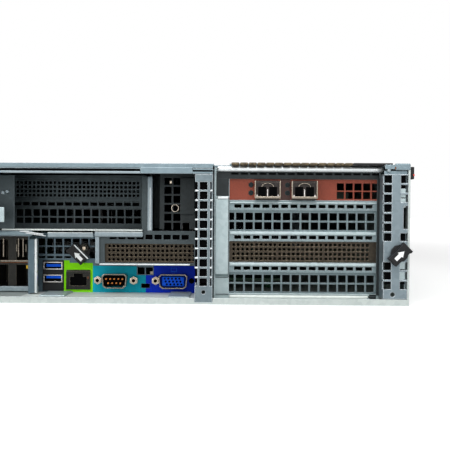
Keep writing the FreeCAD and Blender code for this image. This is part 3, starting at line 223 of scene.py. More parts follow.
spangle, ends, out = new_group("spangle", [("Scale", 400.0)], ["Mask", "Height"])
place = spangle.nodes.new("ShaderNodeTexCoord")
flakes = spangle.nodes.new("ShaderNodeTexVoronoi")
fine = spangle.nodes.new("ShaderNodeTexNoise")
fine.inputs["Scale"].default_value = FINE_GRAIN
fine.inputs["Detail"].default_value = 3
bright = spangle.nodes.new("ShaderNodeSeparateColor")
blend = spangle.nodes.new("ShaderNodeMix")
blend.inputs["Factor"].default_value = 0.45
spangle.links.new(place.outputs["Object"], flakes.inputs["Vector"])
spangle.links.new(place.outputs["Object"], fine.inputs["Vector"])
spangle.links.new(ends.outputs["Scale"], flakes.inputs["Scale"])
spangle.links.new(flakes.outputs["Color"], bright.inputs["Color"])
spangle.links.new(bright.outputs["Red"], blend.inputs["A"])
spangle.links.new(fine.outputs["Fac"], blend.inputs["B"])
spangle.links.new(blend.outputs["Result"], out.inputs["Mask"])
spangle.links.new(fine.outputs["Fac"], out.inputs["Height"])
print("group:", spangle.name, len(spangle.nodes), "nodes")

# %% [markdown]
# ## Handling
# Fingers, oil and dust leave soft dull clouds on bare sheet. They could be painted by hand, but the
# cover and the cages are handled all over, so a slow noise in object space is enough. The group
# gives one mask, which darkens a colour and dulls its gloss together, as dirt does.

# %% Handling
handling, ends, out = new_group("handling", [("Scale", 18.0)], ["Mask"])
place = handling.nodes.new("ShaderNodeTexCoord")
cloud = handling.nodes.new("ShaderNodeTexNoise")
cloud.inputs["Detail"].default_value = 5
cloud.inputs["Roughness"].default_value = 0.62
handling.links.new(place.outputs["Object"], cloud.inputs["Vector"])
handling.links.new(ends.outputs["Scale"], cloud.inputs["Scale"])
handling.links.new(cloud.outputs["Fac"], out.inputs["Mask"])
print("group:", handling.name, len(handling.nodes), "nodes")

# %% [markdown]
# ## Cut edge
# A press leaves a bright, slightly rounded line wherever it cuts or bends sheet. A Bevel modifier
# on every node would add thousands of faces and change the solid mesh. The Bevel shader node only
# rounds the normal, and where the rounded normal leaves the true one there is an edge, which gives
# the mask for the bright line. The line is partly bare cut metal and partly a painted highlight, the
# sheen that a rounded edge catches from the lamps.

# %% Cut edge
EDGE_START, EDGE_FULL = 0.995, 0.86

cut_edge_and_highlight, ends, out = new_group("cut edge", [("Radius", 0.0003)], ["Mask"])
cut_edge_and_highlight.interface.new_socket("Normal", in_out="OUTPUT", socket_type="NodeSocketVector")
soft = cut_edge_and_highlight.nodes.new("ShaderNodeBevel")
soft.samples = 4
true = cut_edge_and_highlight.nodes.new("ShaderNodeNewGeometry")
facing = cut_edge_and_highlight.nodes.new("ShaderNodeVectorMath")
facing.operation = "DOT_PRODUCT"
cut_edge_and_highlight.links.new(ends.outputs["Radius"], soft.inputs["Radius"])
cut_edge_and_highlight.links.new(soft.outputs["Normal"], facing.inputs[0])
cut_edge_and_highlight.links.new(true.outputs["Normal"], facing.inputs[1])
# The mask marks the bare metal of the cut and a painted highlight along the edge.
cut_edge_and_highlight.links.new(remap(cut_edge_and_highlight, facing.outputs["Value"], EDGE_START, EDGE_FULL), out.inputs["Mask"])
cut_edge_and_highlight.links.new(soft.outputs["Normal"], out.inputs["Normal"])
print("group:", cut_edge_and_highlight.name, len(cut_edge_and_highlight.nodes), "nodes")

# %% [markdown]
# ## One recipe for a finish
# The server has some thirty finishes, from zinc to printed film. Built one by one they would drift
# apart, so one recipe makes them all: two close colours mixed by the spangle, clouded by handling,
# a roughness that follows the same clouds, a slight bump, and a bright cut edge with a painted
# highlight where there is one.

# %% Parts of the recipe
CLOUD_SIZE = 18
CLOUD_START, CLOUD_END = 0.3, 0.7
GREASE = (0.6, 0.6, 0.58, 1)


def place_group(tree, group, **settings):
    """Put a node group in a material, with this material's own numbers."""
    node = tree.nodes.new("ShaderNodeGroup")
    node.node_tree = group
    for label, value in settings.items():
        node.inputs[label].default_value = value
    return node


def mix_paint(tree, factor, base, top, way="MIX"):
    """Mix two colours by a mask; base and top are colours or the sockets of colours."""
    node = tree.nodes.new("ShaderNodeMix")
    node.data_type = "RGBA"
    node.blend_type = way
    tree.links.new(factor, node.inputs["Factor"])
    for label, colour in (("A", base), ("B", top)):
        if isinstance(colour, bpy.types.NodeSocket):
            tree.links.new(colour, node.inputs[label])
        else:
            node.inputs[label].default_value = colour
    return node.outputs["Result"]


print("one cloud is about", round(1 / CLOUD_SIZE / MM), "mm wide")

# %% [markdown]
# ## The recipe itself
# `low` and `high` are the two colours, and `rough` the roughness where the sheet is clean and where
# it is dull. `flake` is the size of the flakes and `flaky` how sharply they part. Constant numbers
# sit on the shader's own sockets, so that they reach other programs with the model.

# %% Finish recipe


def finish(name, low, high, metallic, rough, flake=400, edge=0.35, flaky=1.0, dull=0.25, rim=None,
           gloss=0.5):
    """A material between two colours, with cut edges in the rim colour, bare metal and painted highlight
    together, edge mm wide.
    """
    material = bpy.data.materials.new(name)
    material.use_nodes = True
    tree = material.node_tree
    shader = tree.nodes["Principled BSDF"]
    shader.inputs["Metallic"].default_value = metallic
    shader.inputs["Specular IOR Level"].default_value = gloss
    grain = place_group(tree, spangle, Scale=flake)
    touch = place_group(tree, handling, Scale=CLOUD_SIZE)
    flakes = remap(tree, grain.outputs["Mask"], 0.5 - 0.5 / flaky, 0.5 + 0.5 / flaky)
    dirt = remap(tree, touch.outputs["Mask"], CLOUD_START, CLOUD_END, 0, dull)
    paint = mix_paint(tree, dirt, mix_paint(tree, flakes, low, high), GREASE, "MULTIPLY")
    polish = remap(tree, touch.outputs["Mask"], CLOUD_START, CLOUD_END, *rough)
    tree.links.new(polish, shader.inputs["Roughness"])
    bump = tree.nodes.new("ShaderNodeBump")
    bump.inputs["Strength"].default_value = 0.05
    bump.inputs["Distance"].default_value = 0.2 * MM
    tree.links.new(grain.outputs["Height"], bump.inputs["Height"])
    tree.links.new(bump.outputs["Normal"], shader.inputs["Normal"])
    if edge:
        bare_and_highlight = place_group(tree, cut_edge_and_highlight, Radius=edge * MM)
        tree.links.new(bare_and_highlight.outputs["Normal"], bump.inputs["Normal"])
        # painted highlight: the rim colour on the edge mask is partly bare cut metal, partly edge sheen
        paint = mix_paint(tree, bare_and_highlight.outputs["Mask"], paint, rim or high)
    tree.links.new(paint, shader.inputs["Base Color"])
    return material


print("recipe ready")

# %% [markdown]
# ## Sheet finishes
# All sheets are the same zinc-coated steel, but they stand at different depths and catch different
# light. Lamps alone could make that difference. It is clearer and steadier to paint that light and
# shade into each layer's own grey, lighter at the front and darker deep inside, with bright cut edges
# and a painted edge highlight on all.

# %% Outer sheets
SATIN = (0.36, 0.5)
POST_SATIN = (0.34, 0.48)
# painted highlight: EDGE and POST_EDGE are rim colours for cut edges, bare metal and edge sheen together; the
# posts' rims are wider and brighter
EDGE = swatch(205, 216, 220)
POST_EDGE = swatch(226, 234, 238)
COVER = finish("cover sheet", swatch(112, 130, 138), swatch(130, 148, 156), 0.6, SATIN, rim=EDGE)
POST = finish("post sheet", swatch(102, 116, 122), swatch(120, 134, 140), 0.6, POST_SATIN, edge=0.6,
              rim=POST_EDGE)
# painted light: the right post's sheet is the post steel made lighter
LIT_POST = finish("lit post sheet", swatch(114, 128, 135), swatch(132, 146, 153), 0.6, POST_SATIN,
                    edge=0.6, rim=POST_EDGE)
CAGE_SHEET = finish("cage sheet", swatch(160, 177, 180), swatch(182, 197, 199), 0.5, SATIN,
                    rim=swatch(222, 232, 234))
# painted shade: the cage steel made darker on the strips between the slots
STRIP_SHADE = finish("shaded strip sheet", swatch(112, 128, 132), swatch(130, 146, 150), 0.6, SATIN, rim=EDGE)
# painted light: the lit sheet is the same steel where it faces the lamps
LIT_SHEET = finish("lit sheet", swatch(210, 217, 213), swatch(230, 236, 232), 0.25, (0.4, 0.55), rim=EDGE)
FILLER = finish("filler plate", swatch(94, 110, 114), swatch(110, 126, 130), 0.6, SATIN,
                rim=swatch(160, 172, 176))
PORT_WALL = finish("port wall sheet", swatch(78, 96, 106), swatch(94, 112, 122), 0.6, SATIN,
                   rim=swatch(150, 166, 174))
print("outer sheets:", len(bpy.data.materials), "materials so far")

# %% [markdown]
# ## Inner sheets and meshes
# Sheets deep inside are the same steel with painted shade, and the pan and the highlight zinc are the
# same steel with painted light. The fine mesh is nickel plated, so it is warm and dark, with a pale
# line on each web that is partly its edge and partly a painted highlight.

# %% Inner sheets
# painted shade: the shaded and deep shaded sheets are the same steel darkened for depth
DIM = finish("shaded sheet", swatch(58, 67, 70), swatch(70, 80, 83), 0.6, (0.38, 0.52),
             rim=swatch(118, 130, 134))
DIMMER = finish("deep shaded sheet", swatch(34, 39, 40), swatch(44, 50, 52), 0.6, (0.4, 0.55),
                rim=swatch(84, 94, 96))
# painted light: the pan's floor made lighter where it catches light from above
PAN_SHEET = finish("pan sheet", swatch(176, 186, 184), swatch(198, 206, 203), 0.5, SATIN, rim=EDGE)
GALVANISED = finish("galvanised sheet", swatch(128, 142, 149), swatch(148, 161, 167), 0.6, POST_SATIN,
                    rim=EDGE)
# painted highlight: zinc as bright as its glints, lit flanges and folds
HIGHLIGHT_ZINC = finish("highlight zinc", swatch(205, 212, 214), swatch(228, 232, 233), 0.6, (0.22, 0.36),
                     dull=0.12)
NICKEL_MESH = finish("nickel mesh", swatch(40, 35, 27), swatch(64, 56, 45), 0.65, (0.3, 0.45), flake=900,
                     edge=0.22, rim=swatch(168, 152, 126))
print("inner sheets:", len(bpy.data.materials), "materials so far")

# %% [markdown]
# ## Card and connector metals
# The card's bracket has a brick-red coat over its plating, and the boards are green. Port shells,
# transceivers, nuts and pins are small plated parts. Their flakes are finer, because plating is
# smoother than dipped zinc, and their edges carry a brighter painted highlight.

# %% Card and connector metals
PLATED = (0.3, 0.45)
RED_BRACKET = finish("red bracket", swatch(120, 46, 24), swatch(146, 62, 36), 0.05, (0.5, 0.65), flake=1500,
                     flaky=0.7, dull=0.35, rim=swatch(150, 84, 66))
BOARD = finish("circuit board", swatch(20, 62, 40), swatch(28, 84, 52), 0.0, (0.35, 0.5), flake=700, edge=0)
PORT_METAL = finish("port shell", swatch(112, 104, 94), swatch(156, 146, 134), 0.85, (0.2, 0.34), flake=900,
                    rim=swatch(236, 222, 200))
DARK_METAL = finish("dark port shell", swatch(28, 28, 26), swatch(44, 43, 39), 0.6, PLATED, flake=900,
                    rim=swatch(134, 126, 108))
CAGE_METAL = finish("transceiver shell", swatch(34, 30, 29), swatch(50, 45, 43), 0.7, PLATED, flake=900,
                    rim=swatch(120, 110, 104))
SILVER = finish("plated silver", swatch(196, 190, 186), swatch(226, 220, 216), 0.75, (0.16, 0.3), flake=1200,
                dull=0.15, rim=swatch(246, 244, 242))
FINS = finish("fin aluminium", swatch(176, 178, 180), swatch(200, 202, 204), 0.9, (0.3, 0.42), edge=0)
COPPER = finish("dull copper", swatch(92, 54, 32), swatch(132, 80, 50), 0.6, PLATED, flake=1500)
COPPER_PIN = finish("copper pin", swatch(246, 132, 44), swatch(255, 168, 88), 0.1, (0.4, 0.5), flake=1500,
                    edge=0, gloss=0.3)
BRASS = finish("nickel screw", swatch(186, 168, 146), swatch(222, 208, 190), 0.9, (0.16, 0.28), flake=1500,
               rim=swatch(250, 240, 226))
print("connector metals:", len(bpy.data.materials), "materials so far")

# %% [markdown]
# ## Mouldings
# Latches, levers and the supplies' pulls are moulded, black or blue, without metal. The same recipe
# serves with no metallic part and a flake so fine that it reads as moulded grain. The unlit black is
# painted shade for the depth of holes, slots and gaps, where nothing may shine.

# %% Mouldings
BLACK = finish("black moulding", swatch(10, 10, 11), swatch(19, 19, 21), 0.0, (0.42, 0.6), flake=2500, dull=0.1,
               rim=swatch(48, 48, 52), gloss=0.3)
# painted shade: unlit black for holes, slots and gaps
SHADE_BLACK = finish("painted shade black", swatch(3, 3, 4), swatch(6, 6, 7), 0.0, (0.9, 1.0), edge=0, gloss=0.05)
BLUE_PULL = finish("blue moulding", swatch(20, 70, 170), swatch(28, 84, 190), 0.0, (0.4, 0.55), flake=2500)
DRIVE = finish("drive carrier", swatch(58, 60, 63), swatch(78, 80, 83), 0.5, (0.4, 0.55))
PORT_BLUE = finish("blue port tongue", swatch(0, 82, 226), swatch(0, 94, 244), 0.0, (0.45, 0.55), flake=2500,
                   rim=swatch(40, 130, 250), gloss=0.15)
FOAM = finish("gasket weave", swatch(50, 43, 32), swatch(112, 98, 72), 0.35, (0.5, 0.7), flake=700, flaky=1.8)
print("mouldings:", len(bpy.data.materials), "materials so far")

# %% [markdown]
# ## Films, prints and lamps
# The coloured fields round the ports are printed film, even and nearly matt. A picture would carry
# words as well, and these fields are left bare, so a plain colour per field is enough. Lamps are
# unlit here, and show only as smoked or amber plastic.

# %% Films, prints and lamps
FILM_ROUGH = (0.5, 0.6)
LABEL_GREEN = finish("green label", swatch(128, 222, 0), swatch(138, 232, 0), 0.0, FILM_ROUGH, flake=3000,
                     edge=0, dull=0.1, gloss=0.15)
LABEL_CYAN = finish("cyan label", swatch(0, 160, 184), swatch(0, 172, 196), 0.0, FILM_ROUGH, flake=3000,
                    edge=0, dull=0.1, gloss=0.15)
LABEL_BLUE = finish("blue label", swatch(0, 46, 196), swatch(0, 54, 212), 0.0, FILM_ROUGH, flake=3000,
                    edge=0, dull=0.1, gloss=0.12)
WHITE_PRINT = finish("white print", swatch(240, 242, 242), swatch(250, 251, 251), 0.0, FILM_ROUGH, flake=3000,
                     edge=0, dull=0.02)
AMBER = finish("amber lamp", swatch(220, 170, 6), swatch(244, 198, 24), 0.0, (0.25, 0.35), flake=1500)
RED_DOT = finish("red marker", swatch(188, 40, 22), swatch(206, 54, 32), 0.0, (0.4, 0.5), flake=1500)
SMOKED = finish("smoked lamp", swatch(6, 16, 18), swatch(12, 30, 34), 0.0, (0.3, 0.4), flake=1500,
                rim=swatch(52, 92, 98), gloss=0.2)
# painted shade: the red bracket darkened where it lies in shade between the castings
BRACKET_SHADE = finish("shaded bracket", swatch(52, 26, 20), swatch(70, 36, 28), 0.05, (0.5, 0.65), flake=1500)
print("all finishes:", len(bpy.data.materials), "materials")

# %% [markdown]
# ## Dress the solid nodes
# Each node of the solid model gets its finish. The nodes could be replaced by new meshes, but their
# shapes are right, so only their material changes. Parts that come in a row, such as drives, share
# one entry by their family name.

# %% Dress the solid nodes
# painted light and shade: the shaded, deep shaded and lit post sheets here are one steel made darker or lighter
# by depth
DRESS = {
    "chassis_pan": PAN_SHEET, "rear_beam": COVER, "top_cover": COVER, "io_wall": PORT_WALL,
    "center_post": POST, "right_post": LIT_POST, "inner_wall": DIMMER,
    "low_cage": DIM, "low_blank": NICKEL_MESH, "middle_cage": DIM,
    "middle_blanks": DIM, "right_cage": CAGE_SHEET, "right_blanks": FILLER,
    "right_blank_fine": NICKEL_MESH, "card_bracket": RED_BRACKET, "card_board": BOARD,
    "left_cage": DIM, "network_module": DARK_METAL, "usb_ports": PORT_METAL,
    "network_jack": DARK_METAL, "serial_port": PORT_METAL, "video_port": PORT_METAL,
    "main_board": BOARD, "heat_sinks": FINS, "air_duct": BLACK, "fan_frame": BLACK,
    "drive_cage": GALVANISED, "rack_ears": GALVANISED, "power_button": BLACK, "latch_right": BLACK,
    "latch_middle": BLACK, "cover_handle": BLUE_PULL,
}
FAMILIES = {
    "transceiver": CAGE_METAL, "bail": PORT_METAL, "fan_rotor": BLACK, "drive": DRIVE, "lever": BLACK,
    "psu_latch": BLUE_PULL, "psu": GALVANISED,
}
for name, node in NODES.items():
    family = name.rstrip("0123456789").rstrip("_")
    coat = DRESS.get(name) or FAMILIES[family]
    node.data.materials.clear()
    node.data.materials.append(coat)
print("dressed:", len(NODES))

# %% [markdown]
# ## Where the walls stand
# The rear of the machine is a set of upright sheets at different depths. Numbers typed by hand would
# break when the solid model changes, so the stations are read from its nodes. Each is the rear side
# of a sheet along Y, in millimetres.

# %% Stations


def rear_of(name):
    """The rear side of a node along Y, in millimetres."""
    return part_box(name)[0][1] / MM


REAR = rear_of("center_post")
PORTS = rear_of("io_wall")
WALL = PORTS + 14
LEFT = rear_of("left_cage")
CAGE = rear_of("right_blanks") - 1
BRACKET = rear_of("card_bracket")
MIDDLE = rear_of("middle_cage")
INNER = rear_of("inner_wall")
LOW = rear_of("low_cage")
MODULE = rear_of("network_module")
print("stations:", REAR, PORTS, WALL, LEFT, CAGE, BRACKET, MIDDLE, INNER, LOW, MODULE)

# %% [markdown]
# ## Helpers for the small pieces
# Each added piece is one mesh, so that it can carry one finish and ride on one body. Most small
# sheet parts are boxes with a softened edge. Cubes with a Bevel modifier would do too, but a bmesh
# can hold several at once: `block` puts one in, `blocks` makes a whole piece of them, and `done`
# turns any mesh in the making into an object that rides on the right body of the server.

# %% Piece helpers
MADE = []


def block(bm, x, y, z, edge=0.0, turn=None):
    """A block between three pairs of sides in millimetres, with softened edges."""
    spans = [(low * MM, high * MM) for low, high in (x, y, z)]
    middle = Vector([(low + high) / 2 for low, high in spans])
    size = [high - low for low, high in spans]
    matrix = Matrix.Translation(middle) @ (turn or Matrix()) @ Matrix.Diagonal((*size, 1))
    verts = bmesh.ops.create_cube(bm, size=1, matrix=matrix)["verts"]
    if edge:
        edges = list({e for v in verts for e in v.link_edges})
        bmesh.ops.bevel(bm, geom=edges, offset=edge * MM, offset_type="OFFSET", segments=2, profile=0.5,
                        affect="EDGES", material=-1)


def done(name, bm, coat, body="chassis"):
    """Turn a mesh in the making into a piece of the server."""
    bmesh.ops.recalc_face_normals(bm, faces=bm.faces)
    mesh = bpy.data.meshes.new(name)
    bm.to_mesh(mesh)
    bm.free()
    mesh.materials.append(coat)
    piece = bpy.data.objects.new(name, mesh)
    scene.collection.objects.link(piece)
    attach(piece, body)
    MADE.append(name)


def blocks(name, coat, *parts, body="chassis", slot="galvanised"):
    """A piece made of blocks, each given as its x, y, z and edge."""
    bm = bmesh.new()
    for part in parts:
        block(bm, *part)
    done(name, bm, coat, body)


def report():
    """Print the pieces made since the last report."""
    print("made:", ", ".join(MADE))
    MADE.clear()


print("helpers ready")

# %% [markdown]
# ## Thin plates with openings
# Labels, rims and frames are thin plates with rectangular holes. A boolean could punch them, but it
# is slow and can leave stray faces. Here a flat square is cut along every side of every window,
# the faces inside the windows are deleted, and what is left is pushed to its thickness.

# %% Plate helper


def split(bm, spot, normal):
    """Cut all faces of the mesh along an upright or level line at spot millimetres."""
    bmesh.ops.bisect_plane(bm, geom=bm.verts[:] + bm.edges[:] + bm.faces[:], dist=1e-7,
                           plane_co=Vector(normal) * spot * MM, plane_no=normal)


def plate(name, x, z, y, thick, windows, coat, slot="galvanised", body="chassis"):
    """A thin upright plate facing the rear, cut along the edges of its windows and opened there."""
    bm = bmesh.new()
    middle = Vector(((x[0] + x[1]) / 2, y, (z[0] + z[1]) / 2)) * MM
    matrix = (Matrix.Translation(middle) @ Matrix.Rotation(math.pi / 2, 4, "X")
              @ Matrix.Diagonal(((x[1] - x[0]) * MM, (z[1] - z[0]) * MM, 1, 1)))
    bmesh.ops.create_grid(bm, x_segments=1, y_segments=1, size=0.5, matrix=matrix)
    for sides, heights in windows:
        for spot in sides:
            split(bm, spot, (1, 0, 0))
        for spot in heights:
            split(bm, spot, (0, 0, 1))
    gone = []
    for face in bm.faces:
        spot = face.calc_center_median() / MM
        if any(a < spot.x < b and c < spot.z < d for (a, b), (c, d) in windows):
            gone.append(face)
    bmesh.ops.delete(bm, geom=gone, context="FACES")
    grown = bmesh.ops.extrude_face_region(bm, geom=bm.faces[:])
    verts = [g for g in grown["geom"] if isinstance(g, bmesh.types.BMVert)]
    bmesh.ops.translate(bm, verts=verts, vec=(0, thick * MM, 0))
    done(name, bm, coat, body)


print("plate helper ready")

# %% [markdown]
# ## Colour labels round the ports
# A printed film with a green, a cyan and a blue field lies on the wall round the ports. It could be
# painted on the wall as a picture, but each field has its own outline, so each is a thin plate with
# openings along the ports' edges. The fields are left without words.

# %% Port labels
FILM = 0.15
FILM_FOOT = 1.3
JACK_X = (-0.6, 16.0)
JACK_HOLE = (JACK_X, (3.1, 16.7))
for name, x, z, windows, coat in (
        ("label_green", (-2.2, 17.7), (FILM_FOOT, 21.5), [JACK_HOLE], LABEL_GREEN),
        ("label_green_corner", (-2.2, 1.6), (21.52, 23.2), [], LABEL_GREEN),
        ("label_cyan", (17.72, 47.9), (FILM_FOOT, 19.6), [], LABEL_CYAN),
        ("label_cyan_low", (47.92, 54.2), (FILM_FOOT, 13.4), [((51, 54.3), (4.4, 7.6))], LABEL_CYAN),
        ("label_blue", (59.7, 89.8), (FILM_FOOT, 19.9), [], LABEL_BLUE),
        ("label_blue_low", (54.22, 59.68), (FILM_FOOT, 13.4), [((54.1, 57.1), (4.4, 7.6))], LABEL_BLUE)):
    plate(name, x, z, WALL - FILM, FILM, windows, coat)
plate("bus_surround", (-16.9, -2.3), (2.2, 23.2), WALL - 0.6, 0.6, [((-16.35, -3.15), (7.25, 22.25))], BLACK,
      "black_plastic")
report()

# %% [markdown]
# ## Bus ports
# Each of the two mouths holds a blue tongue inside a bright folded rim, and a black bridge parts the
# mouths. The rims are plates with one window. Tongue and bridge are plain blocks, since only
# their front ends are ever seen.

# %% Bus ports
blocks("bus_tongues", PORT_BLUE, *[((-14.4, -4.2), (WALL - 0.4, WALL + 12), (low, low + 1.9), 0.2)
                                   for low in (10.7, 18.7)], slot="blue_plastic")
blocks("bus_bridge", BLACK, ((-16.4, -3.1), (WALL - 0.95, WALL + 3), (13.5, 16.9), 0.15),
       ((-16.4, -3.1), (WALL - 0.95, WALL + 3), (2.3, 7.9), 0.15), slot="black_plastic")
for index, low in ((1, 8.1), (2, 16.9)):
    mouth = (-15.6, -3.9), (low + 0.6, low + 4.6)
    plate(f"bus_rim_{index}", (-16.3, -3.2), (low, low + 5.2), WALL - 1.1, 0.3, [mouth], SILVER, "port_metal")
    # painted shade: an unlit black sheet deep in each mouth
    blocks(f"bus_dark_{index}", SHADE_BLACK, (mouth[0], (WALL - 0.3, WALL - 0.1), mouth[1]), slot="black_plastic")
report()

# %% [markdown]
# ## Network jack
# The jack's mouth is so deep that it reads as black. A hollow in the solid would show its far wall,
# so its shade is painted: a thin unlit black sheet closes the throat, with one small coppery lamp
# beside it.

# %% Network jack: dark throat and lamp
blocks("jack_throat", SHADE_BLACK, ((0.4, 15.2), (WALL - 0.82, WALL - 0.78), (3.6, 15.4)), slot="black_plastic")
blocks("jack_lamp", COPPER, ((14.1, 15.1), (WALL - 1.25, WALL - 1.0), (10.6, 12.2), 0.1), slot="port_metal")
report()

# %% [markdown]
# ## Serial and video ports
# Both are shells shaped like a D. The serial one holds nine bare pins in a dark insert, five over
# four, and the video one a blue insert with three rows of five sockets. The serial insert is dark
# plastic drawn in the unlit black, with painted shade from the depth of its shell. The sockets could
# be bored into the insert, but at their size short rods of unlit black, painted shade, look the same
# and need few faces.

# %% Serial and video ports
SERIAL_X = 33.4
VIDEO_X = 73.4


def pin(bm, x, z, y, radius, sides=16, tip=None):
    """A rod along Y at this place in millimetres; tip is the radius of its rear end."""
    low, high = y
    matrix = Matrix.Translation(Vector((x, (low + high) / 2, z)) * MM) @ Matrix.Rotation(math.pi / 2, 4, "X")
    bmesh.ops.create_cone(bm, cap_ends=True, segments=sides, radius1=radius * MM,
                          radius2=(radius if tip is None else tip) * MM, depth=(high - low) * MM, matrix=matrix)


def pins(name, coat, *parts, body="chassis", slot="galvanised"):
    """A piece made of rods, each given as its x, z, y, radius, sides and tip."""
    bm = bmesh.new()
    for part in parts:
        pin(bm, *part)
    done(name, bm, coat, body)


blocks("serial_insert", SHADE_BLACK, ((SERIAL_X - 7.2, SERIAL_X + 7.2), (WALL - 4.6, WALL), (6.2, 13.2), 0.8),
       slot="black_plastic")
pins("serial_pins", COPPER_PIN,
     *[(SERIAL_X + (i - (count - 1) / 2) * 2.77, z, (WALL - 5.95, WALL - 4), 0.62, 10, 0.5)
       for count, z in ((5, 11.1), (4, 8.3)) for i in range(count)], slot="port_metal")
blocks("video_insert", PORT_BLUE, ((VIDEO_X - 7.6, VIDEO_X + 7.6), (WALL - 4.8, WALL), (6.4, 12.8), 0.6),
       slot="blue_plastic")
pins("video_sockets", SHADE_BLACK,
     *[(VIDEO_X + (i - 2) * 2.5 + (row - 1) * 0.7, 9.6 + (1 - row) * 1.95, (WALL - 4.9, WALL - 4.4), 0.72, 12)
       for row in range(3) for i in range(5)], slot="black_plastic")
report()

# %% [markdown]
# ## Nuts beside the ports
# Hexagonal nuts stand beside the shells and take the plugs' screws. A rod with six sides is already
# a nut, and a round collar finishes it, with painted shade in its bore: a disc of unlit black.
# A thread would never be seen.

# %% Port nuts
NUT_Z = 10.1
nuts, bores = [], []
for x in (22.0, 46.6, 61.5):
    nuts.append((x, NUT_Z, (WALL - 5.2, WALL), 2.9, 6))
    nuts.append((x, NUT_Z, (WALL - 6.2, WALL - 5.1), 2.1, 24, 1.9))
    bores.append((x, NUT_Z, (WALL - 6.25, WALL - 5.95), 1.2, 20))
pins("port_nuts", BRASS, *nuts, slot="port_metal")
# painted shade: unlit black discs in the bores and in the round hole right of the video port
pins("nut_bores", SHADE_BLACK, *bores, (85.8, 9.6, (WALL - 0.3, WALL), 1.9, 24), slot="black_plastic")
report()

# %% [markdown]
# ## Arrows on the latches
# The two quarter-turn latches are black mouldings, and each carries a white arrow that shows which
# way it points. The arrow is printed. It could be a picture too, but seven points and one face, pushed
# to the thickness of the print, stay sharp from near by and turn with the latch.

# %% Latch arrows
SHAFT, HEAD = 1.15, 2.15
ARROW = [(-SHAFT, -3.7), (SHAFT, -3.7), (SHAFT, 0.3), (HEAD, 0.3), (0, 3.6), (-HEAD, 0.3), (-SHAFT, 0.3)]


def arrow(name, x, z, y, lean, body, along, across):
    """A flat white arrow on a latch; lean turns it about Y, in degrees."""
    bm = bmesh.new()
    bm.faces.new([bm.verts.new(((u + across) * MM, 0, (v + along) * MM)) for u, v in ARROW])
    grown = bmesh.ops.extrude_face_region(bm, geom=bm.faces[:])
    lifted = [g for g in grown["geom"] if isinstance(g, bmesh.types.BMVert)]
    bmesh.ops.translate(bm, verts=lifted, vec=(0, 0.12 * MM, 0))
    matrix = Matrix.Translation(Vector((x, y, z)) * MM) @ Matrix.Rotation(math.radians(lean), 4, "Y")
    bmesh.ops.transform(bm, matrix=matrix, verts=bm.verts)
    done(name, bm, WHITE_PRINT, body)


LATCH_X, LATCH_Z = 11, 29.4
arrow("arrow_right", 216, 32.5, rear_of("latch_right") - 0.1, 45, "latch_right", -1.4, 0)
arrow("arrow_middle", LATCH_X, LATCH_Z, rear_of("latch_middle") - 0.1, -45, "latch_middle", -0.6, -3.6)
report()

# %% [markdown]
# ## Rivet and lit edge of the middle latch
# The middle latch turns on a domed metal rivet over a dark washer, and a painted highlight, a thin
# bright block, runs along the lit edge of its handle. The dome could be a sphere, but a rod with a
# narrower end catches the light in the same way with a few faces. All three turn with the latch.

# %% Latch rivet and lit edge
ON_LATCH = {"body": "latch_middle", "slot": "black_plastic"}
LIT_EDGE_HALF = 0.45, 6.6
pins("latch_washer", DARK_METAL, (12.5, 31.8, (WALL - 3.6, WALL - 2.2), 3.0, 28, 2.6), **ON_LATCH)
pins("latch_rivet", BRASS, (12.6, 31.9, (WALL - 4.9, WALL - 3.4), 2.2, 24, 1.1), **ON_LATCH)
turn = Matrix.Rotation(math.radians(-45), 4, "Y")
spot = Vector((LATCH_X, 0, LATCH_Z)) + turn @ Vector((0.15, 0, 0))
# painted highlight: a thin bright block of the highlight zinc along the handle's lit edge
blocks("latch_lit_edge", HIGHLIGHT_ZINC,
       ((spot.x - LIT_EDGE_HALF[0], spot.x + LIT_EDGE_HALF[0]), (WALL - 7.2, WALL - 2.2),
        (spot.z - LIT_EDGE_HALF[1], spot.z + LIT_EDGE_HALF[1]), 0.15, turn), **ON_LATCH)
report()

# %% [markdown]
# ## Fine mesh
# The filler plates of three slots are pressed with fine square holes. Cutting hundreds of holes in
# the solid would make it heavy, so it has long slits, and thin upright bars divide each slit into
# its squares. Each plate's bars are one piece.

# %% Fine mesh bars
FINE_PITCH = 2.94
FINE_WIDE = 3 * 29.4


def mesh_bars(name, first, z, y, coat):
    """Upright bars across the slits of one plate, one every fine pitch."""
    starts = [first + i * FINE_PITCH - 0.7 for i in range(round(FINE_WIDE / FINE_PITCH) + 1)]
    blocks(name, coat, *[((spot - 0.5, spot + 0.5), (y + 0.02, y + 0.75), z) for spot in starts],
           slot="mesh_steel")


mesh_bars("low_mesh_bars", 31.7, (24.4, 35.6), LOW + 1, NICKEL_MESH)
mesh_bars("middle_mesh_bars", -38.9, (67, 78.2), MIDDLE + 1, DIM)
mesh_bars("right_mesh_bars", 113.5, (26.4, 37.8), CAGE + 1, NICKEL_MESH)
report()

# %% [markdown]
# ## Under the cover
# The cover's folded lip lies on the cross beam and leaves a dark groove, which ends at a wide pressed
# tab. A real gap this narrow would fill with stray light, so the groove's shade is painted: a thin
# unlit black strip under the lip, with a lighter fold below it.

# %% Groove and tab
LEFT_END = -222
TAB_X = (56.8, 88.8)
blocks("cover_groove", SHADE_BLACK, ((LEFT_END, 56.6), (REAR - 0.25, REAR + 0.2), (82.0, 83.5)),
       ((89.0, 101.2), (REAR - 0.25, REAR + 0.2), (81.9, 82.9)), slot="black_plastic")
blocks("cover_tab", COVER, (TAB_X, (REAR - 0.8, REAR + 0.4), (80.5, 84.5), 0.4))
blocks("beam_fold", GALVANISED, ((LEFT_END, 56.6), (REAR - 0.5, REAR + 0.3), (80.5, 81.9), 0.3))
report()

# %% [markdown]
# ## Head of the right cage
# A folded flange runs along the top of the cage, its brightness a painted highlight in the highlight
# zinc, over a strip in painted deep shade with a row of slots. The slots are too shallow to look
# through, so their shade is painted as small unlit black plates on the strip.

